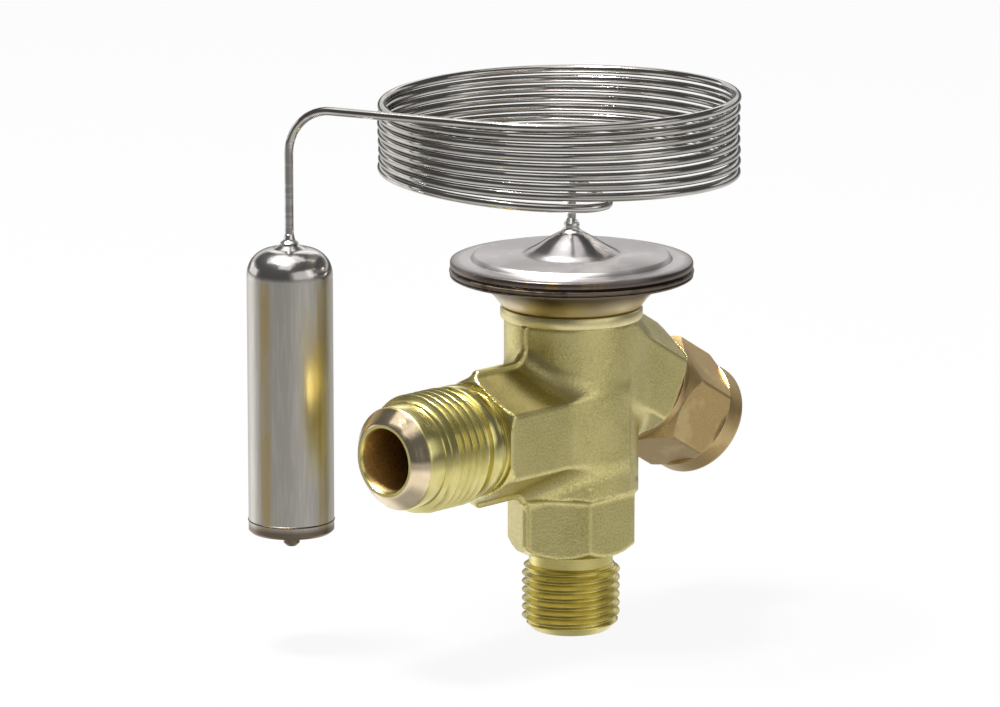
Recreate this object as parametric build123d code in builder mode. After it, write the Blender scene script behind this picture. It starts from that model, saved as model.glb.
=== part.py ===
"""Refrigerant expansion valve: forged brass angle body, welded power element, capillary coil and bulb.

Frame: +Z up, origin at the centre of the inlet's end face. The outlet leg points along -X, and the boss of
the superheat setting spindle points along +X, tilted below the horizontal. All sizes are in millimetres.
"""

from build123d import *
from math import acos, atan2, cos, hypot, pi, radians, sin, sqrt
import os

os.makedirs("parts", exist_ok=True)

# ------------------------------------------------------------------ fits
slide_gap = 0.06        # radial clearance of a piece that turns or slides in its hole
joint_gap = 0.05        # gap left for solder, thread or packing between two fixed pieces
lift_gap = 0.12         # gap between the cone and its seat when the valve is shut
bore_merge = 0.4        # step between the outlet bore's top and the roof of its chamber

# ------------------------------------------------------------------ body: inlet, block and stem
inlet_thread_d = 15.875         # 5/8-18 UNF
inlet_thread_length = 11.0
inlet_chamfer = 1.7
inlet_neck_d = 13.6
inlet_neck_length = 2.3
thread_runout = 0.8             # taper from a thread down to the neck beyond it
inlet_bore_d = 10.4
hexagon_flats = 18.4            # the block, the outlet leg and the spindle boss share one bar size
hexagon_edge_round = 0.8
block_height = 11.2
block_corner_cut = 1.3
block_foot_d = 18.0
leg_corner_cut = 1.0
leg_mouth_d = 19.0
stem_d = 21.7
stem_height = 26.9
collar_d = 22.9
collar_height = 1.9
collar_round = 0.5

# ------------------------------------------------------------------ body: outlet
outlet_rise = 10.3              # from the top of the block to the outlet axis
outlet_reach = 23.6             # from the valve's axis to the outlet's shoulder
outlet_thread_d = 19.05         # 3/4-16 UNF
outlet_thread_length = 12.0
outlet_relief_d = 16.9
outlet_relief_length = 1.7
outlet_nose_d = 16.4
outlet_nose_length = 3.2
outlet_tip_d = 11.7
outlet_bore_d = 10.0
outlet_thread_chamfer = 0.9

# ------------------------------------------------------------------ body: spindle boss
boss_tilt = 30.0                # degrees below the horizontal
boss_crossing = 12.2            # height above the outlet axis at which the boss's axis meets the stem's
boss_reach = 18.4               # along the boss's axis, from the valve's axis to the boss's end face
boss_neck_d = 14.0
boss_neck_length = 8.6
boss_neck_chamfer = 0.8

# ------------------------------------------------------------------ body: chambers
orifice_hole_d = 7.2
ledge_drop = 8.8                # from the outlet axis down to the ledge that the orifice seats against
ledge_thickness = 2.0
outlet_chamber_d = 10.4
web_thickness = 1.8
spring_chamber_d = 15.2
equaliser_d = 1.2
equaliser_offset = 3.9

# ------------------------------------------------------------------ power element
element_neck_d = 19.2
element_neck_wall = 0.8
element_neck_depth = 3.6
element_d = 39.3
rim_start = 4.75                # from the top of the collar to the underside of the rim
lower_rim_height = 1.3
upper_rim_height = 1.2
rim_round = 0.55
rim_setback = 0.15              # the upper rim is this much smaller in radius
cover_wall = 0.9
flare_foot_d = 22.4
flare_d = 31.4
flare_drop = 0.6
flare_sag = 0.7
dish_d = 24.4
dish_rise = 2.6
clamp_land = 2.2                # width of the ring on which the diaphragm is clamped
diaphragm_thickness = 0.25
corrugation_height = 0.4
corrugation_pitch = 3.0
corrugation_count = 2
corrugation_margin = 1.0        # flat ring between the outer corrugation and the clamped edge
outer_step_d = 31.4
outer_step_height = 0.85
inner_step_d = 14.3
inner_step_height = 0.7
cone_top_d = 3.6
cone_height = 3.0
charge_space = 0.9

# ------------------------------------------------------------------ capillary tube and bulb
capillary_d = 1.4
coil_d = 56.7                   # centre line of the turns
coil_turns = 8
coil_pitch = 1.68
coil_centre_x = -1.4
coil_centre_y = 1.5
coil_clearance = 8.51           # from the element's cone up to the centre line of the coil's last turn
hairpin_radius = 4.8
hairpin_advance = 32.4          # degrees past the last full turn at which the hairpin starts
stub_bend_radius = 3.5
lead_bend_radius = 7.5
tube_insertion = 1.2            # how far each end of the tube reaches into what it is brazed to
bulb_x = -38.7
bulb_y = 25.0
bulb_bottom = 18.7
bulb_d = 13.7
bulb_length = 47.0
bulb_wall = 0.6
bulb_shoulder = 4.2             # radius of the drawn shoulder
bulb_crown = 1.0                # rise of the crown above the shoulder
bulb_base_height = 2.0
bulb_base_round = 0.4
bulb_spigot = 1.6
nipple_d = 2.6
nipple_length = 2.4
nipple_round = 0.5

# ------------------------------------------------------------------ orifice assembly in the inlet
orifice_length = 10.0           # below the ledge
orifice_nose_length = 3.0       # above the ledge's underside
orifice_cavity_d = 7.0
orifice_d = 2.6
seat_above_ledge = 0.5          # from the ledge's underside to the small end of the conical seat
o_ring_section = 1.0
o_ring_drop = 2.6               # below the ledge
cone_stem_d = 1.6
cone_d = 4.4
cone_foot = 1.2
cone_spring_wire = 0.4
cone_spring_d = 3.4
cone_spring_turns = 4
holder_lift = 1.2               # above the orifice body's lower face
holder_height = 1.4
holder_hole_d = 1.2
holder_hole_circle_d = 5.2
holder_hole_count = 6
screen_d = 7.6
screen_wall = 0.3
screen_gap = 0.6                # between the screen's closed end and the orifice body
screen_bottom = 2.6
screen_ring_height = 1.4
screen_slot_width = 1.3
screen_slot_length = 6.6
screen_slot_count = 8

# ------------------------------------------------------------------ superheat mechanism
push_rod_d = 3.0
push_rod_foot = 2.6             # above the orifice's nose
pad_d = 18.0
pad_thickness = 1.2
spring_wire = 1.5
spring_d = 10.6
spring_turns = 4
seat_thickness = 1.1
seat_clearance = 0.5            # radial room around the spring seat in its chamber
seat_hole_gap = 0.4             # radial room between the push rod and the spring seat
fork_floor_gap = 1.9            # from the chamber floor to the fork's underside
fork_thickness = 2.2
fork_width = 8.8
fork_tip = 4.0                  # how far the tines reach past the push rod's axis
fork_heel = 4.8
fork_slot = 3.7
fork_slot_end = 3.2
shank_d = 5.0                   # the fork's shank and the spindle's thread share the boss's bore
shank_start = 4.6               # along the boss's axis
shank_end = 13.0
pivot_d = 2.4
pivot_length = 2.6
spindle_thread_length = 5.3
spindle_d = 4.0
spindle_square = 2.8
spindle_square_start = 27.4     # along the boss's axis
spindle_end = 31.0
packing_bore_d = 8.0
packing_start = 20.0            # along the boss's axis
packing_length = 2.4
packing_washer_thickness = 0.6
gland_nut_length = 3.6
gland_slot_width = 1.2
gland_slot_depth = 1.1

# ------------------------------------------------------------------ seal cap
cap_flats = 18.0
cap_turn = 10.0                 # degrees the cap's corners stand past the boss's
cap_gasket_thickness = 0.7
cap_gasket_d = 17.2
cap_mouth_d = 17.5
cap_mouth_length = 1.4
cap_face_d = 17.8               # where the turned near end cuts into the hexagon's face
cap_corner_cut = 1.8
cap_far_cut = 1.2
cap_hexagon_length = 10.6
cap_collar_d = 18.8
cap_collar_length = 4.4
cap_collar_round = 1.3
cap_end_wall = 2.0
cap_room_d = 9.6

# ------------------------------------------------------------------ places worked out from the sizes
block_bottom = inlet_thread_length + inlet_neck_length
block_top = block_bottom + block_height
outlet_z = block_top + outlet_rise
collar_bottom = block_top + stem_height
collar_top = collar_bottom + collar_height
neck_seat = collar_top - element_neck_depth
spindle_z = outlet_z + boss_crossing
chamber_roof = outlet_z + outlet_bore_d / 2 + bore_merge
chamber_floor = chamber_roof + web_thickness
ledge_top = outlet_z - ledge_drop
ledge_bottom = ledge_top - ledge_thickness
outlet_thread_start = outlet_reach + outlet_relief_length
outlet_thread_end = outlet_thread_start + outlet_thread_length
outlet_cone_base = outlet_thread_end + outlet_nose_length
outlet_tip = outlet_cone_base + (outlet_nose_d - outlet_tip_d) / 2
boss_neck_end = boss_reach + boss_neck_length
rim_bottom = collar_top + rim_start
parting_z = rim_bottom + lower_rim_height
cover_base = parting_z + diaphragm_thickness
rim_top = cover_base + upper_rim_height
clamp_r = element_d / 2 - clamp_land
outer_step_z = rim_top + outer_step_height
inner_step_z = outer_step_z + inner_step_height
cone_top_z = inner_step_z + cone_height
finish_z = cone_top_z + coil_clearance
coil_top = finish_z + coil_turns * coil_pitch
bulb_top = bulb_bottom + bulb_length
fork_top = chamber_floor + fork_floor_gap + fork_thickness
seat_bottom = fork_top + joint_gap
seat_top = seat_bottom + seat_thickness
pad_top = parting_z - joint_gap
pad_bottom = pad_top - pad_thickness
orifice_top = ledge_bottom + orifice_nose_length
orifice_bottom = ledge_bottom - orifice_length
seat_z = ledge_bottom + seat_above_ledge
rod_foot_z = orifice_top + push_rod_foot

outlet_plane = Plane(origin=(0, 0, outlet_z), x_dir=(0, 0, 1), z_dir=(-1, 0, 0))
tilt = radians(boss_tilt)
boss_plane = Plane(
    origin=(0, 0, spindle_z), x_dir=(sin(tilt), 0, cos(tilt)), z_dir=(cos(tilt), 0, -sin(tilt))
)
bulb_plane = Plane(origin=(bulb_x, bulb_y, bulb_bottom))


def section(plane):
    """The plane through another plane's axis, with x as the radius and y along the axis."""
    return Plane(origin=plane.origin, x_dir=plane.x_dir, z_dir=-plane.y_dir)


def spun(plane, angle):
    """The same plane turned about its own axis, by an angle in degrees."""
    x_dir = plane.x_dir.rotate(Axis((0, 0, 0), plane.z_dir), angle)
    return Plane(origin=plane.origin, x_dir=x_dir, z_dir=plane.z_dir)


def turned(plane, *outline):
    """A turned solid: (radius, distance along the axis) points revolved about the plane's axis."""
    with BuildPart() as piece:
        with BuildSketch(section(plane)):
            with BuildLine():
                Polyline(*outline, close=True)
            make_face()
        revolve(axis=Axis(plane.origin, plane.z_dir))
    return piece.part


def rod(plane, diameter, start, end):
    """A plain cylinder between two distances along the plane's axis."""
    return turned(plane, (0, start), (diameter / 2, start), (diameter / 2, end), (0, end))


def ring(plane, inner_d, outer_d, start, end):
    """A flat ring between two distances along the plane's axis."""
    return turned(
        plane, (inner_d / 2, start), (outer_d / 2, start), (outer_d / 2, end), (inner_d / 2, end)
    )


def turned_hexagon(plane, flats, start, end, near=None, far=None):
    """A hexagonal bar; near and far, each (length, end face diameter), turn the corners off at its ends."""
    corner_r = flats / 2 / cos(radians(30))
    clear = 1.3             # the turning tool runs out past the corners
    outline = [(0, start), (clear * corner_r, start), (clear * corner_r, end), (0, end)]
    if far:
        cut, face_r = far[0], far[1] / 2
        outline[2:3] = [(face_r + clear * (corner_r - face_r), end - clear * cut), (face_r, end)]
        outline[1] = (outline[2][0], start)
    if near:
        cut, face_r = near[0], near[1] / 2
        outline[1:2] = [(face_r, start), (face_r + clear * (corner_r - face_r), start + clear * cut)]
    with BuildPart() as bar:
        with BuildSketch(plane.offset(start)):
            hexagon = RegularPolygon(flats / 2, 6, major_radius=False)
            fillet(hexagon.vertices(), hexagon_edge_round)
        extrude(amount=end - start)
        add(turned(plane, *outline), mode=Mode.INTERSECT)
    return bar.part


def half_turns(centre, radius, angle, height, drops):
    """Draw a coil in the open BuildLine as half circles, each tilted about one shared diameter.

    Each half turn meets the next with the same tangent, so the coil has no kinks. It ends at the
    angle and height that are returned.
    """
    for drop in drops:
        reach = sqrt(radius**2 + (drop / 2) ** 2)
        start = centre + Vector(radius * cos(angle), radius * sin(angle), height)
        middle = centre + Vector(reach * -sin(angle), reach * cos(angle), height - drop / 2)
        angle += pi
        height -= drop
        end = centre + Vector(radius * cos(angle), radius * sin(angle), height)
        ThreePointArc(start, middle, end)
    return angle, height


def coil_spring(wire, mean_d, turns, start, end):
    """A compression spring on the valve's axis with its end turns laid flat, between two heights."""
    rise = end - start - wire - 2 * joint_gap
    steps = [0] + [-rise / (2 * turns - 2)] * (2 * turns - 2) + [0]
    with BuildPart() as spring:
        with BuildLine():
            half_turns(Vector(0, 0, 0), mean_d / 2, 0, start + wire / 2 + joint_gap, steps)
        with BuildSketch(
            Plane(origin=(mean_d / 2, 0, start + wire / 2 + joint_gap), z_dir=(0, 1, 0))
        ):
            Circle(wire / 2)
        sweep()
    return spring.part


# ------------------------------------------------------------------ valve body
with BuildPart() as valve_body:
    # Stem, with the outlet leg and the spindle boss: hexagonal bars with one corner up and one down
    add(rod(Plane.XY, stem_d, block_top, collar_bottom))
    for leg_plane, leg_reach in ((outlet_plane, outlet_reach), (boss_plane, boss_reach)):
        add(turned_hexagon(leg_plane, hexagon_flats, 0, leg_reach, far=(leg_corner_cut, leg_mouth_d)))
    # Turning the collar leaves the boss's upper corner flat beside it
    split(bisect_by=Plane.XY.offset(collar_bottom), keep=Keep.BOTTOM)
    add(
        turned(
            Plane.XY,
            (0, collar_bottom),
            (collar_d / 2 - collar_round, collar_bottom),
            (collar_d / 2, collar_bottom + collar_round),
            (collar_d / 2, collar_top - collar_round),
            (collar_d / 2 - collar_round, collar_top),
            (0, collar_top),
        )
    )
    # Block at the bottom, with its lower corners turned off
    add(
        turned_hexagon(
            Plane.XY, hexagon_flats, block_bottom, block_top, near=(block_corner_cut, block_foot_d)
        )
    )
    # Inlet: chamfered end, thread and neck
    add(
        turned(
            Plane.XY,
            (0, 0),
            (inlet_thread_d / 2 - inlet_chamfer, 0),
            (inlet_thread_d / 2, inlet_chamfer),
            (inlet_thread_d / 2, inlet_thread_length - thread_runout),
            (inlet_neck_d / 2, inlet_thread_length),
            (inlet_neck_d / 2, block_bottom),
            (0, block_bottom),
        )
    )
    # Outlet: relief groove, thread, plain nose and 45 degree flare cone
    add(
        turned(
            outlet_plane,
            (0, outlet_reach),
            (outlet_relief_d / 2, outlet_reach),
            (outlet_relief_d / 2, outlet_thread_start),
            (outlet_thread_d / 2 - outlet_thread_chamfer, outlet_thread_start),
            (outlet_thread_d / 2, outlet_thread_start + outlet_thread_chamfer),
            (outlet_thread_d / 2, outlet_thread_end - thread_runout),
            (outlet_nose_d / 2, outlet_thread_end),
            (outlet_nose_d / 2, outlet_cone_base),
            (outlet_tip_d / 2, outlet_tip),
            (0, outlet_tip),
        )
    )
    # Spindle boss: neck that carries the gland and the seal cap's thread
    add(
        turned(
            boss_plane,
            (0, boss_reach),
            (boss_neck_d / 2, boss_reach),
            (boss_neck_d / 2, boss_neck_end - boss_neck_chamfer),
            (boss_neck_d / 2 - boss_neck_chamfer, boss_neck_end),
            (0, boss_neck_end),
        )
    )
    # Bores along the valve's axis, from the inlet up to the seat of the element's neck
    for bore_d, bore_start, bore_end in (
        (inlet_bore_d, 0, ledge_bottom),
        (orifice_hole_d, ledge_bottom, ledge_top),
        (outlet_chamber_d, ledge_top, chamber_roof),
        (push_rod_d + 2 * slide_gap, chamber_roof, chamber_floor),
        (spring_chamber_d, chamber_floor, collar_top),
        (element_neck_d + 2 * joint_gap, neck_seat, collar_top),
    ):
        add(rod(Plane.XY, bore_d, bore_start, bore_end), mode=Mode.SUBTRACT)
    # Pressure equalising hole through the web, beside the push rod
    with BuildSketch(Plane.XY.offset(chamber_roof)):
        with Locations((0, equaliser_offset)):
            Circle(equaliser_d / 2)
    extrude(amount=web_thickness, mode=Mode.SUBTRACT)
    # Outlet bore, spindle bore and packing chamber
    add(rod(outlet_plane, outlet_bore_d, 0, outlet_tip), mode=Mode.SUBTRACT)
    add(rod(boss_plane, shank_d + 2 * slide_gap, shank_start, packing_start), mode=Mode.SUBTRACT)
    add(rod(boss_plane, packing_bore_d, packing_start, boss_neck_end), mode=Mode.SUBTRACT)
valve_body.part.label = "valve_body"
export_step(valve_body.part, "parts/valve_body.step")

# ------------------------------------------------------------------ power element
with BuildPart() as element_lower_cover:
    with BuildSketch(Plane.XZ):
        with BuildLine():
            neck_inner_r = element_neck_d / 2 - element_neck_wall
            shoulder_z = collar_top + joint_gap
            Polyline(
                (neck_inner_r, neck_seat + joint_gap),
                (element_neck_d / 2, neck_seat + joint_gap),
                (element_neck_d / 2, shoulder_z),
                (flare_foot_d / 2, shoulder_z),
            )
            SagittaArc((flare_foot_d / 2, shoulder_z), (flare_d / 2, rim_bottom - flare_drop), -flare_sag)
            Line((flare_d / 2, rim_bottom - flare_drop), (element_d / 2 - rim_round, rim_bottom))
            RadiusArc(
                (element_d / 2 - rim_round, rim_bottom), (element_d / 2, rim_bottom + rim_round), -rim_round
            )
            Line((element_d / 2, rim_bottom + rim_round), (element_d / 2, parting_z - rim_round))
            RadiusArc(
                (element_d / 2, parting_z - rim_round), (element_d / 2 - rim_round, parting_z), -rim_round
            )
            Polyline(
                (element_d / 2 - rim_round, parting_z),
                (clamp_r, parting_z),
                (dish_d / 2, collar_top + dish_rise),
                (neck_inner_r, collar_top + cover_wall),
                (neck_inner_r, neck_seat + joint_gap),
            )
        make_face()
    revolve(axis=Axis.Z)
element_lower_cover.part.label = "element_lower_cover"
export_step(element_lower_cover.part, "parts/element_lower_cover.step")

with BuildPart() as element_upper_cover:
    with BuildSketch(Plane.XZ):
        with BuildLine():
            upper_rim_r = element_d / 2 - rim_setback
            Line((clamp_r, cover_base), (upper_rim_r - rim_round, cover_base))
            RadiusArc(
                (upper_rim_r - rim_round, cover_base), (upper_rim_r, cover_base + rim_round), -rim_round
            )
            Line((upper_rim_r, cover_base + rim_round), (upper_rim_r, rim_top - rim_round))
            RadiusArc((upper_rim_r, rim_top - rim_round), (upper_rim_r - rim_round, rim_top), -rim_round)
            Polyline(
                (upper_rim_r - rim_round, rim_top),
                (outer_step_d / 2 + outer_step_height, rim_top),
                (outer_step_d / 2, outer_step_z),
                (inner_step_d / 2 + inner_step_height, outer_step_z),
                (inner_step_d / 2, inner_step_z),
                (cone_top_d / 2, cone_top_z),
                (capillary_d / 2 + joint_gap, cone_top_z),
                (capillary_d / 2 + joint_gap, inner_step_z - cover_wall),
                (clamp_r - charge_space, cover_base + charge_space),
                (clamp_r, cover_base),
            )
        make_face()
    revolve(axis=Axis.Z)
element_upper_cover.part.label = "element_upper_cover"
export_step(element_upper_cover.part, "parts/element_upper_cover.step")

with BuildPart() as diaphragm:
    with BuildSketch(Plane.XZ):
        with BuildLine() as wave:
            middle_z = parting_z + diaphragm_thickness / 2
            wave_r = clamp_r - corrugation_margin - corrugation_count * corrugation_pitch
            Line((0, middle_z), (wave_r, middle_z))
            for _ in range(corrugation_count):
                half_r = wave_r + corrugation_pitch / 2
                end_r = wave_r + corrugation_pitch
                SagittaArc((wave_r, middle_z), (half_r, middle_z), corrugation_height)
                SagittaArc((half_r, middle_z), (end_r, middle_z), -corrugation_height)
                wave_r = end_r
            Line((wave_r, middle_z), (element_d / 2 - rim_setback - rim_round, middle_z))
        trace(line_width=diaphragm_thickness)
    revolve(axis=Axis.Z)
diaphragm.part.label = "diaphragm"
export_step(diaphragm.part, "parts/diaphragm.step")

# ------------------------------------------------------------------ capillary tube and bulb
coil_centre = Vector(coil_centre_x, coil_centre_y, 0)
coil_r = coil_d / 2
bulb_axis = Vector(bulb_x, bulb_y, 0)
to_bulb = bulb_axis - coil_centre
lead_angle = atan2(to_bulb.Y, to_bulb.X) + acos(coil_r / to_bulb.length)
lead_end = coil_centre + Vector(coil_r * cos(lead_angle), coil_r * sin(lead_angle), coil_top)
finish_angle = lead_angle + radians(hairpin_advance)
hairpin_start = coil_centre + Vector(coil_r * cos(finish_angle), coil_r * sin(finish_angle), finish_z)
hairpin_centre = coil_centre + Vector(
    (coil_r - hairpin_radius) * cos(finish_angle), (coil_r - hairpin_radius) * sin(finish_angle), finish_z
)
home_distance = hypot(hairpin_centre.X, hairpin_centre.Y)
home_angle = atan2(-hairpin_centre.Y, -hairpin_centre.X) - acos(hairpin_radius / home_distance)


def around(centre, radius, angle):
    """The point on a level circle at an angle."""
    return centre + Vector(radius * cos(angle), radius * sin(angle), 0)


with BuildPart() as capillary_tube:
    with BuildLine():
        FilletPolyline(
            (bulb_x, bulb_y, bulb_top - tube_insertion),
            (bulb_x, bulb_y, coil_top),
            lead_end,
            radius=lead_bend_radius,
        )
        half_turns(coil_centre, coil_r, lead_angle, coil_top, [coil_pitch / 2] * (2 * coil_turns))
        ThreePointArc(
            lead_end - Vector(0, 0, coil_turns * coil_pitch),
            around(coil_centre, coil_r, (lead_angle + finish_angle) / 2) + Vector(0, 0, finish_z),
            hairpin_start,
        )
        ThreePointArc(
            hairpin_start,
            around(hairpin_centre, hairpin_radius, (finish_angle + home_angle + 2 * pi) / 2),
            around(hairpin_centre, hairpin_radius, home_angle),
        )
        FilletPolyline(
            around(hairpin_centre, hairpin_radius, home_angle),
            (0, 0, finish_z),
            (0, 0, cone_top_z - tube_insertion),
            radius=stub_bend_radius,
        )
    with BuildSketch(Plane(origin=(bulb_x, bulb_y, bulb_top - tube_insertion), z_dir=(0, 0, 1))):
        Circle(capillary_d / 2)
    sweep()
capillary_tube.part.label = "capillary_tube"
export_step(capillary_tube.part, "parts/capillary_tube.step")

with BuildPart() as bulb_shell:
    with BuildSketch(section(bulb_plane)):
        with BuildLine():
            shell_r = bulb_d / 2
            shell_inner_r = shell_r - bulb_wall
            crown = bulb_length - bulb_crown
            hole_r = capillary_d / 2 + joint_gap
            flat_r = shell_r - bulb_shoulder
            Line((shell_inner_r, bulb_base_height), (shell_r, bulb_base_height))
            Line((shell_r, bulb_base_height), (shell_r, crown - bulb_shoulder))
            RadiusArc((shell_r, crown - bulb_shoulder), (flat_r, crown), -bulb_shoulder)
            Line((flat_r, crown), (hole_r, bulb_length))
            Line((hole_r, bulb_length), (hole_r, bulb_length - bulb_wall))
            Line((hole_r, bulb_length - bulb_wall), (flat_r, crown - bulb_wall))
            RadiusArc(
                (flat_r, crown - bulb_wall),
                (shell_inner_r, crown - bulb_shoulder),
                bulb_shoulder - bulb_wall,
            )
            Line((shell_inner_r, crown - bulb_shoulder), (shell_inner_r, bulb_base_height))
        make_face()
    revolve(axis=Axis(bulb_plane.origin, bulb_plane.z_dir))
bulb_shell.part.label = "bulb_shell"
export_step(bulb_shell.part, "parts/bulb_shell.step")

with BuildPart() as bulb_base:
    add(
        turned(
            bulb_plane,
            (0, -nipple_length),
            (nipple_d / 2 - nipple_round, -nipple_length),
            (nipple_d / 2, nipple_round - nipple_length),
            (nipple_d / 2, 0),
            (bulb_d / 2 - bulb_base_round, 0),
            (bulb_d / 2, bulb_base_round),
            (bulb_d / 2, bulb_base_height),
            (shell_inner_r - joint_gap, bulb_base_height),
            (shell_inner_r - joint_gap, bulb_base_height + bulb_spigot),
            (0, bulb_base_height + bulb_spigot),
        )
    )
bulb_base.part.label = "bulb_base"
export_step(bulb_base.part, "parts/bulb_base.step")

# ------------------------------------------------------------------ orifice assembly in the inlet
orifice_outer_r = inlet_bore_d / 2 - joint_gap
cavity_r = orifice_cavity_d / 2
seat_slope_end = seat_z - (cavity_r - orifice_d / 2)
with BuildPart() as orifice_body:
    add(
        turned(
            Plane.XY,
            (cavity_r, orifice_bottom),
            (orifice_outer_r, orifice_bottom),
            (orifice_outer_r, ledge_bottom - joint_gap),
            (orifice_hole_d / 2 - joint_gap, ledge_bottom - joint_gap),
            (orifice_hole_d / 2 - joint_gap, orifice_top),
            (orifice_d / 2, orifice_top),
            (orifice_d / 2, seat_z),
            (cavity_r, seat_slope_end),
        )
    )
    groove_z = ledge_bottom - o_ring_drop
    groove_d = 2 * orifice_outer_r - 2 * o_ring_section + 2 * joint_gap
    groove_half = o_ring_section / 2 + joint_gap
    add(
        ring(Plane.XY, groove_d, inlet_bore_d, groove_z - groove_half, groove_z + groove_half),
        mode=Mode.SUBTRACT,
    )
orifice_body.part.label = "orifice_body"
export_step(orifice_body.part, "parts/orifice_body.step")

with BuildPart() as orifice_o_ring:
    with BuildSketch(Plane.XZ):
        with Locations(((groove_d + o_ring_section) / 2 + joint_gap / 2, groove_z)):
            Circle(o_ring_section / 2 - joint_gap / 2)
    revolve(axis=Axis.Z)
orifice_o_ring.part.label = "orifice_o_ring"
export_step(orifice_o_ring.part, "parts/orifice_o_ring.step")

cone_r = cone_d / 2
cone_small_r = orifice_d / 2 - lift_gap * sqrt(2)
cone_shoulder_z = seat_z - (cone_r - cone_small_r)
cone_bottom = cone_shoulder_z - cone_foot
with BuildPart() as valve_cone:
    add(
        turned(
            Plane.XY,
            (0, cone_bottom),
            (cone_r, cone_bottom),
            (cone_r, cone_shoulder_z),
            (cone_small_r, seat_z),
            (cone_stem_d / 2, seat_z),
            (cone_stem_d / 2, rod_foot_z - joint_gap),
            (0, rod_foot_z - joint_gap),
        )
    )
valve_cone.part.label = "valve_cone"
export_step(valve_cone.part, "parts/valve_cone.step")

holder_bottom = orifice_bottom + holder_lift
holder_top = holder_bottom + holder_height
with BuildPart() as spring_holder:
    with BuildSketch(Plane.XY.offset(holder_bottom)):
        Circle(cavity_r - joint_gap)
        with PolarLocations(holder_hole_circle_d / 2, holder_hole_count):
            Circle(holder_hole_d / 2, mode=Mode.SUBTRACT)
    extrude(amount=holder_height)
spring_holder.part.label = "spring_holder"
export_step(spring_holder.part, "parts/spring_holder.step")

with BuildPart() as cone_spring:
    add(coil_spring(cone_spring_wire, cone_spring_d, cone_spring_turns, holder_top, cone_bottom))
cone_spring.part.label = "cone_spring"
export_step(cone_spring.part, "parts/cone_spring.step")

screen_top = orifice_bottom - screen_gap
screen_r = screen_d / 2
with BuildPart() as filter_screen:
    add(
        turned(
            Plane.XY,
            (screen_r - screen_wall, screen_bottom),
            (screen_r, screen_bottom),
            (screen_r, screen_top),
            (0, screen_top),
            (0, screen_top - screen_wall),
            (screen_r - screen_wall, screen_top - screen_wall),
        )
    )
    slot_middle = (screen_bottom + screen_ring_height + screen_top) / 2
    for slot in range(screen_slot_count):
        with BuildSketch(Plane.XZ.rotated((0, 360 / screen_slot_count * slot, 0))):
            with Locations((0, slot_middle)):
                SlotOverall(screen_slot_length, screen_slot_width, rotation=90)
        extrude(amount=screen_d, mode=Mode.SUBTRACT)
filter_screen.part.label = "filter_screen"
export_step(filter_screen.part, "parts/filter_screen.step")

with BuildPart() as filter_ring:
    add(
        ring(
            Plane.XY,
            screen_d + 2 * joint_gap,
            2 * orifice_outer_r,
            screen_bottom,
            screen_bottom + screen_ring_height,
        )
    )
filter_ring.part.label = "filter_ring"
export_step(filter_ring.part, "parts/filter_ring.step")

# ------------------------------------------------------------------ superheat mechanism
with BuildPart() as diaphragm_pad:
    add(rod(Plane.XY, pad_d, pad_bottom, pad_top))
diaphragm_pad.part.label = "diaphragm_pad"
export_step(diaphragm_pad.part, "parts/diaphragm_pad.step")

with BuildPart() as push_rod:
    add(rod(Plane.XY, push_rod_d, rod_foot_z, pad_bottom - joint_gap))
push_rod.part.label = "push_rod"
export_step(push_rod.part, "parts/push_rod.step")

with BuildPart() as spring_seat:
    add(
        ring(
            Plane.XY,
            push_rod_d + 2 * seat_hole_gap,
            spring_chamber_d - 2 * seat_clearance,
            seat_bottom,
            seat_top,
        )
    )
spring_seat.part.label = "spring_seat"
export_step(spring_seat.part, "parts/spring_seat.step")

with BuildPart() as superheat_spring:
    add(coil_spring(spring_wire, spring_d, spring_turns, seat_top, pad_bottom))
superheat_spring.part.label = "superheat_spring"
export_step(superheat_spring.part, "parts/superheat_spring.step")

# Fork: tines under the spring seat, on a shank that slides in the boss
with BuildPart() as thrust_fork:
    add(rod(boss_plane, shank_d, shank_start, shank_end))
    split(bisect_by=Plane.XY.offset(fork_top), keep=Keep.BOTTOM)
    with BuildSketch(Plane.XY.offset(fork_top - fork_thickness)):
        with Locations(((fork_heel - fork_tip) / 2, 0)):
            Rectangle(fork_heel + fork_tip, fork_width)
    extrude(amount=fork_thickness)
    with BuildSketch(Plane.XY.offset(chamber_floor)):
        with Locations(((fork_slot_end - fork_slot / 2 - fork_tip) / 2, 0)):
            Rectangle(fork_slot_end - fork_slot / 2 + fork_tip, fork_slot)
        with Locations((fork_slot_end - fork_slot / 2, 0)):
            Circle(fork_slot / 2)
    extrude(amount=fork_top - chamber_floor, mode=Mode.SUBTRACT)
    add(
        rod(boss_plane, pivot_d + 2 * slide_gap, shank_end - pivot_length - joint_gap, shank_end),
        mode=Mode.SUBTRACT,
    )
thrust_fork.part.label = "thrust_fork"
export_step(thrust_fork.part, "parts/thrust_fork.step")

thread_start = shank_end + joint_gap
thread_end = thread_start + spindle_thread_length
with BuildPart() as setting_spindle:
    add(
        turned(
            boss_plane,
            (0, shank_end - pivot_length),
            (pivot_d / 2, shank_end - pivot_length),
            (pivot_d / 2, thread_start),
            (shank_d / 2, thread_start),
            (shank_d / 2, thread_end),
            (spindle_d / 2, thread_end),
            (spindle_d / 2, spindle_square_start),
            (0, spindle_square_start),
        )
    )
    with BuildSketch(boss_plane.offset(spindle_square_start)):
        Rectangle(spindle_square, spindle_square)
    extrude(amount=spindle_end - spindle_square_start)
setting_spindle.part.label = "setting_spindle"
export_step(setting_spindle.part, "parts/setting_spindle.step")

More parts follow.
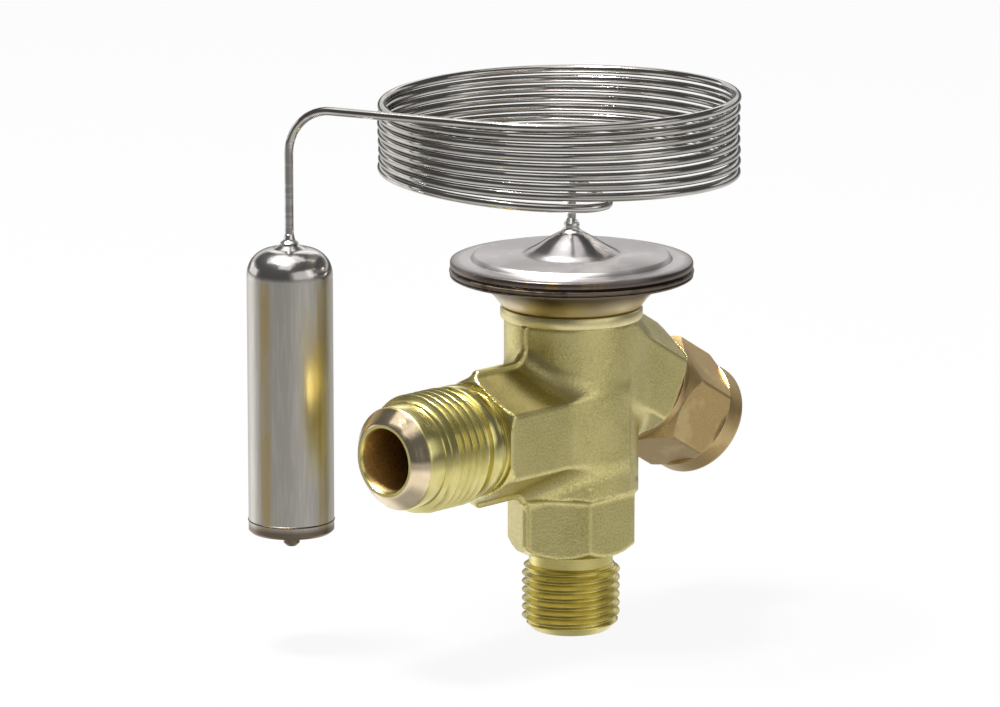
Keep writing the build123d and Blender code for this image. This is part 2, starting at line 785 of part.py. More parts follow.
packing_end = packing_start + packing_length
washer_end = packing_end + packing_washer_thickness
with BuildPart() as spindle_packing:
    add(
        ring(
            boss_plane,
            spindle_d + 2 * slide_gap,
            packing_bore_d - 2 * joint_gap,
            packing_start + joint_gap,
            packing_end,
        )
    )
spindle_packing.part.label = "spindle_packing"
export_step(spindle_packing.part, "parts/spindle_packing.step")

with BuildPart() as packing_washer:
    add(
        ring(
            boss_plane,
            spindle_d + 2 * slide_gap,
            packing_bore_d - 2 * joint_gap,
            packing_end + joint_gap,
            washer_end,
        )
    )
packing_washer.part.label = "packing_washer"
export_step(packing_washer.part, "parts/packing_washer.step")

gland_end = washer_end + joint_gap + gland_nut_length
with BuildPart() as gland_nut:
    add(
        ring(
            boss_plane,
            spindle_d + 2 * slide_gap,
            packing_bore_d - 2 * joint_gap,
            washer_end + joint_gap,
            gland_end,
        )
    )
    with BuildSketch(boss_plane.offset(gland_end - gland_slot_depth)):
        Rectangle(packing_bore_d, gland_slot_width)
    extrude(amount=gland_slot_depth, mode=Mode.SUBTRACT)
gland_nut.part.label = "gland_nut"
export_step(gland_nut.part, "parts/gland_nut.step")

# ------------------------------------------------------------------ seal cap
gasket_start = boss_reach + joint_gap
gasket_end = gasket_start + cap_gasket_thickness
with BuildPart() as cap_gasket:
    add(ring(boss_plane, boss_neck_d + 2 * slide_gap, cap_gasket_d, gasket_start, gasket_end))
cap_gasket.part.label = "cap_gasket"
export_step(cap_gasket.part, "parts/cap_gasket.step")

cap_start = gasket_end + joint_gap
cap_hexagon_start = cap_start + cap_mouth_length
cap_collar_start = cap_hexagon_start + cap_hexagon_length
cap_end = cap_collar_start + cap_collar_length
with BuildPart() as seal_cap:
    add(
        turned_hexagon(
            spun(boss_plane, cap_turn),
            cap_flats,
            cap_hexagon_start,
            cap_collar_start,
            near=(cap_corner_cut, cap_face_d),
            far=(cap_far_cut, cap_collar_d),
        )
    )
    add(rod(boss_plane, cap_mouth_d, cap_start, cap_hexagon_start))
    add(rod(boss_plane, cap_collar_d, cap_collar_start, cap_end))
    rim = seal_cap.edges().filter_by(GeomType.CIRCLE).sort_by(Axis(boss_plane.origin, boss_plane.z_dir))[-1]
    fillet(rim, cap_collar_round)
    add(
        rod(boss_plane, boss_neck_d + 2 * slide_gap, cap_start, boss_neck_end + slide_gap),
        mode=Mode.SUBTRACT,
    )
    add(rod(boss_plane, cap_room_d, cap_start, cap_end - cap_end_wall), mode=Mode.SUBTRACT)
seal_cap.part.label = "seal_cap"
export_step(seal_cap.part, "parts/seal_cap.step")
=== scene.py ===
# %% [markdown]
# # A refrigerant expansion valve
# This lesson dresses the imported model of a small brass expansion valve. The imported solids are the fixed
# frame: every piece made here sits where the solids say and rides on one of their bodies. The real valve
# is a sandy brass forging with turned threads, a welded steel element on top, a coil of bright steel
# capillary tube and a steel sensing bulb. Each of these surfaces gets its own shape and finish below.

from math import acos, atan2, cos, hypot, pi, radians, sin, tan

import bmesh
import bpy
import numpy as np
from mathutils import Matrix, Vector


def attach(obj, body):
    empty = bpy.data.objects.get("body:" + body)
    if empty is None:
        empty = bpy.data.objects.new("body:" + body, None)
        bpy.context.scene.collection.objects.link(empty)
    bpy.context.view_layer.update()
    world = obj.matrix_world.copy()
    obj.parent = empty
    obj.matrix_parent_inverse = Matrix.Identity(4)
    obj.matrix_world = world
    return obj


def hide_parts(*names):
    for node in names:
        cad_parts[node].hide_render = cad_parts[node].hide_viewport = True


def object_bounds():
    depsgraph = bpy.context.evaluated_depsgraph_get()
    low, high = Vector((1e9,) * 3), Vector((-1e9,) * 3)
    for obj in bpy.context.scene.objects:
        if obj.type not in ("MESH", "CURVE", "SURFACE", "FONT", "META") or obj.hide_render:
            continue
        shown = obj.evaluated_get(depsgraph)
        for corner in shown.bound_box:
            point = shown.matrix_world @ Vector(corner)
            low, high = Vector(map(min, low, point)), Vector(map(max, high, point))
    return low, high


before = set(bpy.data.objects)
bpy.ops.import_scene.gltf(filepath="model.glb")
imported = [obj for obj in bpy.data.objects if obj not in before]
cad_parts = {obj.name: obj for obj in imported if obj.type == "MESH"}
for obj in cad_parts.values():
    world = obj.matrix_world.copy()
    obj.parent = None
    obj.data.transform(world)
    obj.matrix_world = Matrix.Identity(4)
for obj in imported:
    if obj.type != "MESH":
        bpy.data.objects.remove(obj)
cad_low, cad_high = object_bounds()
MM = 0.001

# %% [markdown]
# ## Camera
# A product shot is taken from far away with a long lens, so that round pieces don't look stretched. The
# camera stands about a metre off, slightly above the valve, and looks down on it by twelve degrees. It
# could be aimed with a constraint, but a rotation worked out from the line of sight is plainer to read.

# %% Camera
camera_place = Vector((-0.7025, -0.6518, 0.2530))
camera_pitch = radians(12.23)
level_sight = Vector((0.725, 0.689, 0)).normalized()
sight = level_sight * cos(camera_pitch) - Vector((0, 0, sin(camera_pitch)))
camera_data = bpy.data.cameras.new("camera")
camera_data.lens = 219.7
camera_data.sensor_width = 36
camera_data.clip_start = 0.01
camera = bpy.data.objects.new("camera", camera_data)
camera.location = camera_place
camera.rotation_euler = sight.to_track_quat("-Z", "Y").to_euler()
bpy.context.scene.collection.objects.link(camera)
bpy.context.scene.camera = camera
bpy.context.scene.view_settings.view_transform = "Standard"
print("camera at", tuple(round(c, 3) for c in camera_place))

# %% [markdown]
# ## Node helpers
# Materials here are built in code, so a few small helpers save a lot of typing: one adds a node and fills
# its sockets, the rest do one sum, one blend or one stretch. A socket takes either a plain value or
# another node's output.

# %% Node helpers
def add_node(tree, kind, inputs=None, **settings):
    """Add a node; inputs maps a socket's name or number to a value or to another socket."""
    made = tree.nodes.new(kind)
    for key, value in settings.items():
        setattr(made, key, value)
    for key, value in (inputs or {}).items():
        if isinstance(value, bpy.types.NodeSocket):
            tree.links.new(value, made.inputs[key])
        else:
            made.inputs[key].default_value = value
    return made


def calculate(tree, operation, *values, clamp=False):
    """One Math node, given its operation and its values or sockets."""
    made = add_node(tree, "ShaderNodeMath", dict(enumerate(values)), operation=operation)
    made.use_clamp = clamp
    return made.outputs[0]


def blend_colours(tree, share, first, second):
    """Mix two colours; share 0 gives the first."""
    made = add_node(tree, "ShaderNodeMix", {0: share, 6: first, 7: second}, data_type="RGBA")
    return made.outputs[2]


def spread(tree, value, low, high, to_low=0.0, to_high=1.0):
    """Stretch a value from one range to another, held at the ends."""
    made = add_node(tree, "ShaderNodeMapRange", {0: value, 1: low, 2: high, 3: to_low, 4: to_high})
    return made.outputs[0]


def screen(red, green, blue):
    """A colour as it is read off a screen, from 0 to 255, as the shader's linear colour."""
    return tuple(((c / 255 + 0.055) / 1.055) ** 2.4 for c in (red, green, blue)) + (1.0,)


def calculate_vector(tree, operation, *values):
    """One Vector Math node; a dot product or a length gives a number, the rest give a vector."""
    made = add_node(tree, "ShaderNodeVectorMath", dict(enumerate(values)), operation=operation)
    return made.outputs["Value" if operation in ("DOT_PRODUCT", "LENGTH") else "Vector"]


def effect_group(name, inputs, outputs):
    """An empty node group with named sockets; gives the tree, its inputs and a way to set its outputs."""
    group = bpy.data.node_groups.new(name, "ShaderNodeTree")
    for socket_name, kind in inputs:
        group.interface.new_socket(name=socket_name, in_out="INPUT", socket_type=kind)
    for socket_name in outputs:
        group.interface.new_socket(name=socket_name, in_out="OUTPUT", socket_type="NodeSocketFloat")
    return group, group.nodes.new("NodeGroupInput").outputs, group.nodes.new("NodeGroupOutput").inputs


def use(tree, group, inputs):
    """Place a shared effect in a material and give its outputs."""
    return add_node(tree, "ShaderNodeGroup", inputs, node_tree=group).outputs


VECTOR, NUMBER = "NodeSocketVector", "NodeSocketFloat"
print("helpers ready; mid brass is", [round(c, 2) for c in screen(175, 165, 105)[:3]])

# %% [markdown]
# ## Studio
# Bright metal shows its surroundings more than its own colour. A photographer works in a dim room with a
# few large white softboxes, and the metal then has crisp bright planes against dark ones. Here the world
# does that job, for reflections alone: a dim room with four softboxes, each given by the direction of its
# middle and by how far it reaches to each side. The camera still sees plain white behind the object.

# %% Softbox
softbox, given, gives = effect_group(
    "softbox",
    [("Sight", VECTOR), ("Middle", VECTOR), ("Across", VECTOR), ("Up", VECTOR), ("Half Width", NUMBER),
     ("Half Height", NUMBER)],
    ["Mask"],
)
ahead = calculate_vector(softbox, "DOT_PRODUCT", given["Sight"], given["Middle"])
reach = calculate(softbox, "MAXIMUM", ahead, 0.001)
inside = calculate(softbox, "GREATER_THAN", ahead, 0.001)
for direction, half in (("Across", "Half Width"), ("Up", "Half Height")):
    off_middle = calculate_vector(softbox, "DOT_PRODUCT", given["Sight"], given[direction])
    slant = calculate(softbox, "ABSOLUTE", calculate(softbox, "DIVIDE", off_middle, reach))
    share = calculate(softbox, "DIVIDE", slant, given[half])
    inside = calculate(softbox, "MULTIPLY", inside, spread(softbox, share, 1.08, 0.92))
softbox.links.new(inside, gives["Mask"])

# %% World
world = bpy.data.worlds.new("studio")
bpy.context.scene.world = world
world.use_nodes = True
tree = world.node_tree
tree.nodes.clear()
paths = add_node(tree, "ShaderNodeLightPath")
sight_line = add_node(tree, "ShaderNodeTexCoord").outputs[0]
# Bearing and elevation of each softbox, its half width and half height in degrees, and its brightness
softboxes = (
    (90, 80, 26, 26, 1.40), (105, 6, 20, 12, 1.40), (-97, 14, 29, 20, 0.95), (34, 18, 54, 9, 1.00),
)
dim_room = 0.12
reflected = dim_room
for box_bearing, elevation, half_wide, half_high, bright in softboxes:
    b, e = radians(box_bearing), radians(elevation)
    lit = use(tree, softbox, {
        "Sight": sight_line,
        "Middle": (cos(e) * cos(b), cos(e) * sin(b), sin(e)),
        "Across": (-sin(b), cos(b), 0),
        "Up": (-sin(e) * cos(b), -sin(e) * sin(b), cos(e)),
        "Half Width": tan(radians(half_wide)),
        "Half Height": tan(radians(half_high)),
    })["Mask"]
    reflected = calculate(tree, "ADD", reflected, calculate(tree, "MULTIPLY", lit, bright - dim_room))
soft_light = (0.62, 0.62, 0.62, 1)
WHITE = (1, 1, 1, 1)
seen = calculate(tree, "MAXIMUM", paths.outputs["Is Camera Ray"], paths.outputs["Is Transmission Ray"])
by_kind = blend_colours(tree, paths.outputs["Is Glossy Ray"], soft_light, reflected)
background = add_node(tree, "ShaderNodeBackground", {0: blend_colours(tree, seen, by_kind, WHITE), 1: 1.0})
add_node(tree, "ShaderNodeOutputWorld", {0: background.outputs[0]})
print("softboxes:", len(softboxes))

# %% Lamps
def soft_lamp(name, place, watts, width, depth):
    """An area lamp that points at the middle of the valve."""
    data = bpy.data.lights.new(name, "AREA")
    data.shape = "RECTANGLE"
    data.size, data.size_y = width, depth
    data.energy = watts
    lamp = bpy.data.objects.new(name, data)
    lamp.location = place
    lamp.rotation_euler = (Vector((0, 0, 0.045)) - lamp.location).to_track_quat("-Z", "Y").to_euler()
    bpy.context.scene.collection.objects.link(lamp)
    return lamp


soft_lamp("key", (-0.174, 0.168, 1.015), 46.0, 0.20, 0.20)
soft_lamp("top", (-0.55, -0.25, 1.05), 1.2, 0.60, 0.60)
soft_lamp("fill", (0.35, -1.00, 0.45), 0.8, 0.60, 0.60)
soft_lamp("back", (0.75, 0.65, 0.70), 1.0, 0.60, 0.40)

# %% [markdown]
# ## Floor
# The camera looks down, so an upright face mirrors the floor, and the floor matters as much as the room.
# The camera sees it white with a faint shadow. A mirror ray that comes down steeply sees white paper; one
# that skims it sees the paper fade out to the dim room, with painted light towards the lit side; one that
# comes straight down sees a painted shadow of the valve. All this is a glow that only those rays see and
# lights nothing.

# %% Floor
floor_half = 4.0
floor_z = cad_low.z - 0.2 * MM
floor_mesh = bpy.data.meshes.new("floor")
floor_mesh.from_pydata(
    [(x * floor_half, y * floor_half, floor_z) for x, y in ((-1, -1), (1, -1), (1, 1), (-1, 1))],
    [],
    [(0, 1, 2, 3)],
)
floor = bpy.data.objects.new("floor", floor_mesh)
bpy.context.scene.collection.objects.link(floor)
floor_material = bpy.data.materials.new("floor_paper")
floor_material.use_nodes = True
tree = floor_material.node_tree
tree.nodes.clear()
paths = add_node(tree, "ShaderNodeLightPath")
direct = calculate(tree, "MAXIMUM", paths.outputs["Is Camera Ray"], paths.outputs["Is Transmission Ray"])
incoming = add_node(tree, "ShaderNodeNewGeometry").outputs["Incoming"]
# Turned round, it is the way that the ray came down; its third part is the sine of how steeply
ray_x, ray_y, steep = add_node(tree, "ShaderNodeSeparateXYZ", {0: incoming}).outputs
bearing = calculate(
    tree, "ARCTAN2", calculate(tree, "MULTIPLY", ray_y, -1.0), calculate(tree, "MULTIPLY", ray_x, -1.0)
)
far_floor_painted_light = add_node(tree, "ShaderNodeValToRGB", {0: spread(tree, bearing, -pi, pi)})
# Bearing in degrees, and how bright the painted light on the far floor is there
floor_bearings = (
    (-180, 0.44), (-140, 0.45), (-118, 0.58), (-97, 0.64), (-75, 0.60), (-50, 0.55), (0, 0.72), (45, 0.70),
    (78, 0.95), (90, 1.65), (108, 1.65), (125, 0.60), (150, 0.44), (180, 0.44),
)
stops = far_floor_painted_light.color_ramp.elements
while len(stops) < len(floor_bearings):
    stops.new(0.5)
for stop, (degrees_round, bright) in zip(stops, floor_bearings):
    stop.position = (degrees_round + 180) / 360
    stop.color = (bright, bright, bright, 1)
# Painted shadow of the valve, for a mirror ray that comes straight down
near_floor_painted_shadow = spread(tree, steep, 0.75, 0.92, 1.10, 0.45)
faded = calculate(tree, "MULTIPLY", far_floor_painted_light.outputs[0], spread(tree, steep, 0.05, 0.17, 0.2, 1.0))
mirror_floor = blend_colours(tree, spread(tree, steep, 0.28, 0.42), faded, near_floor_painted_shadow)
mirrored = add_node(tree, "ShaderNodeEmission", {0: mirror_floor, 1: 1.0})
paper = add_node(tree, "ShaderNodeBsdfDiffuse", {0: (0.75, 0.75, 0.75, 1)})
shaded = add_node(tree, "ShaderNodeBsdfDiffuse", {0: (0.015, 0.015, 0.015, 1)})
glow = add_node(tree, "ShaderNodeEmission", {0: WHITE, 1: 0.93})
white = add_node(tree, "ShaderNodeAddShader", {0: shaded.outputs[0], 1: glow.outputs[0]})
glossy = paths.outputs["Is Glossy Ray"]
unseen = add_node(tree, "ShaderNodeMixShader", {0: glossy, 1: paper.outputs[0], 2: mirrored.outputs[0]})
surface = add_node(tree, "ShaderNodeMixShader", {0: direct, 1: unseen.outputs[0], 2: white.outputs[0]})
add_node(tree, "ShaderNodeOutputMaterial", {0: surface.outputs[0]})
floor_mesh.materials.append(floor_material)
print("floor at", round(floor_z / MM, 2), "mm")

# %% [markdown]
# ## Shared effects
# Several finishes need the same effects: the sandy skin of a forging, the fine rings a lathe leaves, the
# rubbed bright line along an edge and the blotches of tarnish. Each is a node group with named sockets,
# built once and placed in every material that needs it with its own numbers.

# %% Shader groups

# Sandy skin: fine grains, each a fraction of a millimetre, and slow patches of tone
sand_skin, given, gives = effect_group(
    "sand_skin", [("Place", VECTOR), ("Grain", NUMBER)], ["Height", "Tone"]
)
fineness = calculate(sand_skin, "DIVIDE", 1.0, given["Grain"])
grain = add_node(sand_skin, "ShaderNodeTexNoise", {
    "Vector": given["Place"], "Scale": fineness, "Detail": 3.0, "Roughness": 0.6
})
patch = add_node(sand_skin, "ShaderNodeTexNoise", {
    "Vector": given["Place"], "Scale": calculate(sand_skin, "MULTIPLY", fineness, 0.06), "Detail": 2.0
})
sand_skin.links.new(grain.outputs[0], gives["Height"])
sand_skin.links.new(patch.outputs[0], gives["Tone"])

# Lathe rings: a noise that changes only along the axis and away from it
lathe_rings, given, gives = effect_group(
    "lathe_rings", [("Place", VECTOR), ("Centre", VECTOR), ("Axis", VECTOR), ("Spacing", NUMBER)], ["Height"]
)
from_centre = calculate_vector(lathe_rings, "SUBTRACT", given["Place"], given["Centre"])
along = calculate_vector(lathe_rings, "DOT_PRODUCT", from_centre, given["Axis"])
across = calculate_vector(lathe_rings, "CROSS_PRODUCT", from_centre, given["Axis"])
radius = calculate_vector(lathe_rings, "LENGTH", across)
travel = calculate(lathe_rings, "ADD", along, calculate(lathe_rings, "MULTIPLY", radius, 1.3))
rings = add_node(
    lathe_rings,
    "ShaderNodeTexNoise",
    {"W": calculate(lathe_rings, "DIVIDE", travel, given["Spacing"]), "Scale": 1.0, "Detail": 2.0},
    noise_dimensions="1D",
)
lathe_rings.links.new(rings.outputs[0], gives["Height"])

# Rubbed edges: where a rounded normal turns away from the true one, the surface is an edge
rubbed_edges, given, gives = effect_group("rubbed_edges", [("Width", NUMBER), ("Gain", NUMBER)], ["Mask"])
rounded = add_node(rubbed_edges, "ShaderNodeBevel", {"Radius": given["Width"]}, samples=4)
true_normal = add_node(rubbed_edges, "ShaderNodeNewGeometry").outputs["Normal"]
agree = calculate_vector(rubbed_edges, "DOT_PRODUCT", rounded.outputs[0], true_normal)
turned_away = calculate(rubbed_edges, "SUBTRACT", 1.0, agree)
edge_mask = calculate(rubbed_edges, "MULTIPLY", turned_away, given["Gain"], clamp=True)
rubbed_edges.links.new(edge_mask, gives["Mask"])

# Stains: soft blotches that can be drawn out along one direction, for tarnish
stains, given, gives = effect_group(
    "stains", [("Place", VECTOR), ("Stretch", VECTOR), ("Cover", NUMBER)], ["Mask"]
)
drawn_out = calculate_vector(stains, "MULTIPLY", given["Place"], given["Stretch"])
blotch = add_node(stains, "ShaderNodeTexNoise", {"Vector": drawn_out, "Scale": 1.0, "Detail": 3.0})
edge_of = calculate(stains, "SUBTRACT", 0.75, calculate(stains, "MULTIPLY", given["Cover"], 0.5))
stain_mask = spread(stains, blotch.outputs[0], calculate(stains, "SUBTRACT", edge_of, 0.08), edge_of)
stains.links.new(stain_mask, gives["Mask"])
print("effects:", [g.name for g in bpy.data.node_groups])

# %% [markdown]
# ## Finishes
# Every finish below is one material with its own Principled shader. Metal takes its colour from the base
# colour and its character from roughness, so most of the work goes into how the roughness and the fine
# relief change over the surface. Numbers that don't change sit on the shader's own sockets.

# %% A start for each metal
def metal(name, roughness, metallic=1.0):
    """A new material; gives the tree, its shader and the place on the object."""
    material = bpy.data.materials.new(name)
    material.use_nodes = True
    tree = material.node_tree
    shader = tree.nodes["Principled BSDF"]
    shader.inputs["Metallic"].default_value = metallic
    shader.inputs["Roughness"].default_value = roughness
    place = add_node(tree, "ShaderNodeTexCoord").outputs["Object"]
    return material, tree, shader, place


def paint(tree, shader, colour, roughness=None):
    """Feed a colour, and a roughness where it changes, to the shader."""
    tree.links.new(colour, shader.inputs["Base Color"])
    if roughness is not None:
        tree.links.new(roughness, shader.inputs["Roughness"])


def relief(tree, shader, height, depth, strength=1.0, normal=None):
    """Feed a height, over a depth in metres, to the shader's normal."""
    bump = add_node(tree, "ShaderNodeBump", {"Height": height, "Distance": depth, "Strength": strength})
    if normal is not None:
        tree.links.new(normal, bump.inputs["Normal"])
    tree.links.new(bump.outputs[0], shader.inputs["Normal"])


def softened_edges(tree, width):
    """A normal that rounds every edge by a small width, as a tool or a tumbler leaves it."""
    return add_node(tree, "ShaderNodeBevel", {"Radius": width}, samples=4).outputs[0]


X_AXIS, Z_AXIS = (1.0, 0.0, 0.0), (0.0, 0.0, 1.0)
BOSS_AXIS = (cos(radians(30)), 0.0, -0.5)
valve_start, outlet_start, boss_start = (0.0, 0.0, 0.0), (0.0, 0.0, 0.0348), (0.0, 0.0, 0.047)


def ring_height(tree, place, spacing, centre=valve_start, axis=Z_AXIS):
    """The height of lathe rings round an axis, the valve's own if none is given."""
    rings = {"Place": place, "Centre": centre, "Axis": axis, "Spacing": spacing}
    return use(tree, lathe_rings, rings)["Height"]


def stained(tree, place, stretch, cover):
    """The mask of stains that cover about a share of the surface."""
    return use(tree, stains, {"Place": place, "Stretch": stretch, "Cover": cover})["Mask"]


# %% Forged brass
def sanded_brass(name, deep, pale, grains, edges, grain=0.34 * MM, depth=0.055 * MM):
    """The skin of a forging: slow patches of tone, bright grains and edges rubbed pale."""
    material, tree, shader, place = metal(name, 0.5)
    skin = use(tree, sand_skin, {"Place": place, "Grain": grain})
    worn = use(tree, rubbed_edges, {"Width": 0.7 * MM, "Gain": 3.0})
    tone = blend_colours(tree, spread(tree, skin["Tone"], 0.38, 0.64), deep, pale)
    speckled = blend_colours(tree, spread(tree, skin["Height"], 0.35, 0.7), tone, grains)
    coloured = blend_colours(tree, calculate(tree, "MULTIPLY", worn["Mask"], 0.5), speckled, edges)
    paint(tree, shader, coloured, spread(tree, skin["Height"], 0.3, 0.7, 0.46, 0.33))
    relief(tree, shader, skin["Height"], depth, 0.8)
    return material


forged_brass = sanded_brass(
    "forged_brass",
    screen(184, 172, 108), screen(202, 190, 128), screen(216, 205, 146), screen(236, 228, 180),
)
collar_brass = sanded_brass(
    "collar_brass",
    screen(206, 194, 138), screen(220, 208, 154), screen(230, 220, 170), screen(242, 236, 196),
    grain=0.16 * MM, depth=0.02 * MM,
)
# The bores' brass is darker: painted shade for the dim inside of a hole
bore_brass_painted_shade = sanded_brass(
    "bore_brass_painted_shade",
    screen(166, 138, 88), screen(184, 156, 104), screen(200, 172, 118), screen(220, 190, 150),
    grain=0.5 * MM, depth=0.02 * MM,
)

# %% Turned brass, one for each axis that it was turned on
def turned_brass(name, colour, dark, roughness, centre, axis, spacing=0.11 * MM, depth=0.010 * MM):
    """Bright brass with lathe rings round an axis and a little tarnish."""
    material, tree, shader, place = metal(name, roughness)
    marks = ring_height(tree, place, spacing, centre, axis)
    shade = calculate(tree, "MULTIPLY", stained(tree, place, (260.0, 260.0, 260.0), 0.35), 0.35)
    ringed = blend_colours(tree, spread(tree, marks, 0.35, 0.65, 0.0, 0.45), colour, dark)
    rough = spread(tree, marks, 0.3, 0.7, roughness * 0.75, roughness * 1.3)
    paint(tree, shader, blend_colours(tree, shade, ringed, dark), rough)
    relief(tree, shader, marks, depth, 0.6, softened_edges(tree, 0.12 * MM))
    return material


outlet_brass = turned_brass(
    "outlet_brass", screen(222, 212, 146), screen(190, 176, 104), 0.24, outlet_start, X_AXIS
)
flare_brass = turned_brass(
    "flare_brass", screen(240, 222, 190), screen(206, 184, 150), 0.13, outlet_start, X_AXIS, 0.07 * MM
)
inlet_brass = turned_brass(
    "inlet_brass", screen(222, 210, 138), screen(196, 180, 100), 0.30, valve_start, Z_AXIS
)
boss_brass = turned_brass(
    "boss_brass", screen(214, 198, 128), screen(184, 164, 96), 0.28, boss_start, BOSS_AXIS
)

# %% Tarnished cap brass
cap_brass, tree, shader, place = metal("cap_brass", 0.36)
skin = use(tree, sand_skin, {"Place": place, "Grain": 0.22 * MM})
marks = ring_height(tree, place, 0.14 * MM, boss_start, BOSS_AXIS)
worn = use(tree, rubbed_edges, {"Width": 0.6 * MM, "Gain": 3.5})
browned = stained(tree, place, (150.0, 150.0, 150.0), 0.55)
tarnish = blend_colours(tree, browned, screen(186, 164, 116), screen(170, 144, 96))
freckles = spread(tree, skin["Height"], 0.4, 0.7, 0.0, 0.4)
freckled = blend_colours(tree, freckles, tarnish, screen(205, 180, 132))
rubbed = calculate(tree, "MULTIPLY", worn["Mask"], 0.7)
coloured = blend_colours(tree, rubbed, freckled, screen(235, 206, 160))
paint(tree, shader, coloured, spread(tree, skin["Height"], 0.3, 0.7, 0.50, 0.38))
grain_and_rings = calculate(tree, "ADD", skin["Height"], marks)
relief(tree, shader, grain_and_rings, 0.012 * MM, 0.7, softened_edges(tree, 0.35 * MM))

# %% Steels: element, tube, bulb, springs and inner pieces
element_steel, tree, shader, place = metal("element_steel", 0.3)
flat_place = calculate_vector(tree, "MULTIPLY", place, (1.0, 1.0, 0.0))
out_from_axis = calculate_vector(tree, "LENGTH", flat_place)
marks = ring_height(tree, place, 0.3 * MM)
clouds = calculate(tree, "MULTIPLY", stained(tree, place, (210.0, 210.0, 210.0), 0.6), 0.5)
straw = stained(tree, place, (330.0, 330.0, 60.0), 0.7)
plate = blend_colours(tree, clouds, screen(172, 169, 169), screen(152, 147, 145))
near_rim = spread(tree, out_from_axis, 17.8 * MM, 19.4 * MM)
burnt = blend_colours(tree, straw, screen(118, 98, 72), screen(96, 88, 84))
rough = spread(tree, out_from_axis, 6.0 * MM, 8.5 * MM, 0.16, 0.34)
paint(tree, shader, blend_colours(tree, near_rim, plate, burnt), rough)
relief(tree, shader, marks, 0.012 * MM, 0.5, softened_edges(tree, 0.15 * MM))

skirt_steel, tree, shader, place = metal("skirt_steel", 0.34)
straw = stained(tree, place, (260.0, 260.0, 120.0), 0.5)
rise = add_node(tree, "ShaderNodeSeparateXYZ", {0: place}).outputs[2]
braze = spread(tree, rise, 56.6 * MM, 54.6 * MM)
burnt = blend_colours(tree, straw, screen(92, 82, 74), screen(112, 100, 88))
coloured = blend_colours(tree, braze, burnt, screen(206, 190, 150))
paint(tree, shader, coloured, spread(tree, straw, 0.0, 1.0, 0.30, 0.42))

tube_steel, tree, shader, place = metal("tube_steel", 0.1)
drawn = stained(tree, place, (120.0, 120.0, 900.0), 0.5)
dulled = calculate(tree, "MULTIPLY", drawn, 0.6)
coloured = blend_colours(tree, dulled, screen(178, 175, 170), screen(150, 146, 140))
paint(tree, shader, coloured, spread(tree, drawn, 0.0, 1.0, 0.08, 0.14))

bulb_steel, tree, shader, place = metal("bulb_steel", 0.3)
fine = stained(tree, place, (2600.0, 2600.0, 130.0), 0.5)
waver = stained(tree, place, (200.0, 200.0, 60.0), 0.6)
from_bulb = calculate_vector(tree, "SUBTRACT", place, (-38.7 * MM, 25.0 * MM, 0.0))
bulb_x, bulb_y, rise = add_node(tree, "ShaderNodeSeparateXYZ", {0: from_bulb}).outputs
round_bulb = calculate(tree, "ARCTAN2", bulb_y, bulb_x)
drawn_lines = calculate(tree, "MULTIPLY", fine, 0.4)
satin = blend_colours(tree, drawn_lines, screen(192, 188, 180), screen(172, 167, 158))
painted_brass_reflection = 0.0
# Painted reflections of the brass body: bearing round the bulb and half width in degrees, lowest and highest
# point in mm, strength
for middle, half_wide, low, high, strength in (
    (-171, 9, 18, 62, 0.70), (-92, 3.5, 18, 62, 0.65), (-108, 13, 37, 52, 0.40), (20, 14, 22, 58, 0.60),
):
    away = calculate(tree, "ABSOLUTE", calculate(tree, "SUBTRACT", round_bulb, radians(middle)))
    band = spread(tree, away, radians(half_wide * 1.3), radians(half_wide * 0.6))
    band = calculate(tree, "MULTIPLY", band, spread(tree, rise, (low - 4) * MM, (low + 4) * MM))
    band = calculate(tree, "MULTIPLY", band, spread(tree, rise, (high + 5) * MM, (high - 5) * MM))
    painted_brass_reflection = calculate(tree, "MAXIMUM", painted_brass_reflection, calculate(tree, "MULTIPLY", band, strength))
painted_brass_reflection = calculate(tree, "MULTIPLY", painted_brass_reflection, spread(tree, waver, 0.0, 1.0, 0.65, 1.0))
# Yellow bands painted on the steel where the brass body would reflect in it
satin_with_painted_reflection = blend_colours(tree, painted_brass_reflection, satin, screen(184, 160, 98))
dome = spread(tree, rise, 59.8 * MM, 61.4 * MM)
polished = blend_colours(tree, dome, satin_with_painted_reflection, screen(186, 182, 178))
foot = spread(tree, rise, 20.6 * MM, 19.7 * MM)
coloured = blend_colours(tree, foot, polished, screen(122, 108, 92))
paint(tree, shader, coloured, spread(tree, dome, 0.0, 1.0, 0.33, 0.17))
relief(tree, shader, fine, 0.006 * MM, 0.5)


def plain_steel(name, colour, roughness, spacing):
    """Ground or drawn steel for the inner pieces."""
    material, tree, shader, place = metal(name, roughness)
    marks = ring_height(tree, place, spacing)
    deeper = tuple(0.8 * c for c in colour[:3]) + (1.0,)
    paint(tree, shader, blend_colours(tree, marks, colour, deeper))
    relief(tree, shader, marks, 0.008 * MM, 0.5)
    return material


inner_steel = plain_steel("inner_steel", screen(200, 200, 200), 0.25, 0.15 * MM)
spring_steel = plain_steel("spring_steel", screen(150, 150, 154), 0.3, 0.4 * MM)
screen_steel = plain_steel("screen_steel", screen(190, 190, 192), 0.35, 0.2 * MM)
solder = plain_steel("solder", screen(214, 212, 208), 0.2, 0.5 * MM)
weld_bead = plain_steel("weld_bead", screen(92, 80, 66), 0.4, 0.3 * MM)

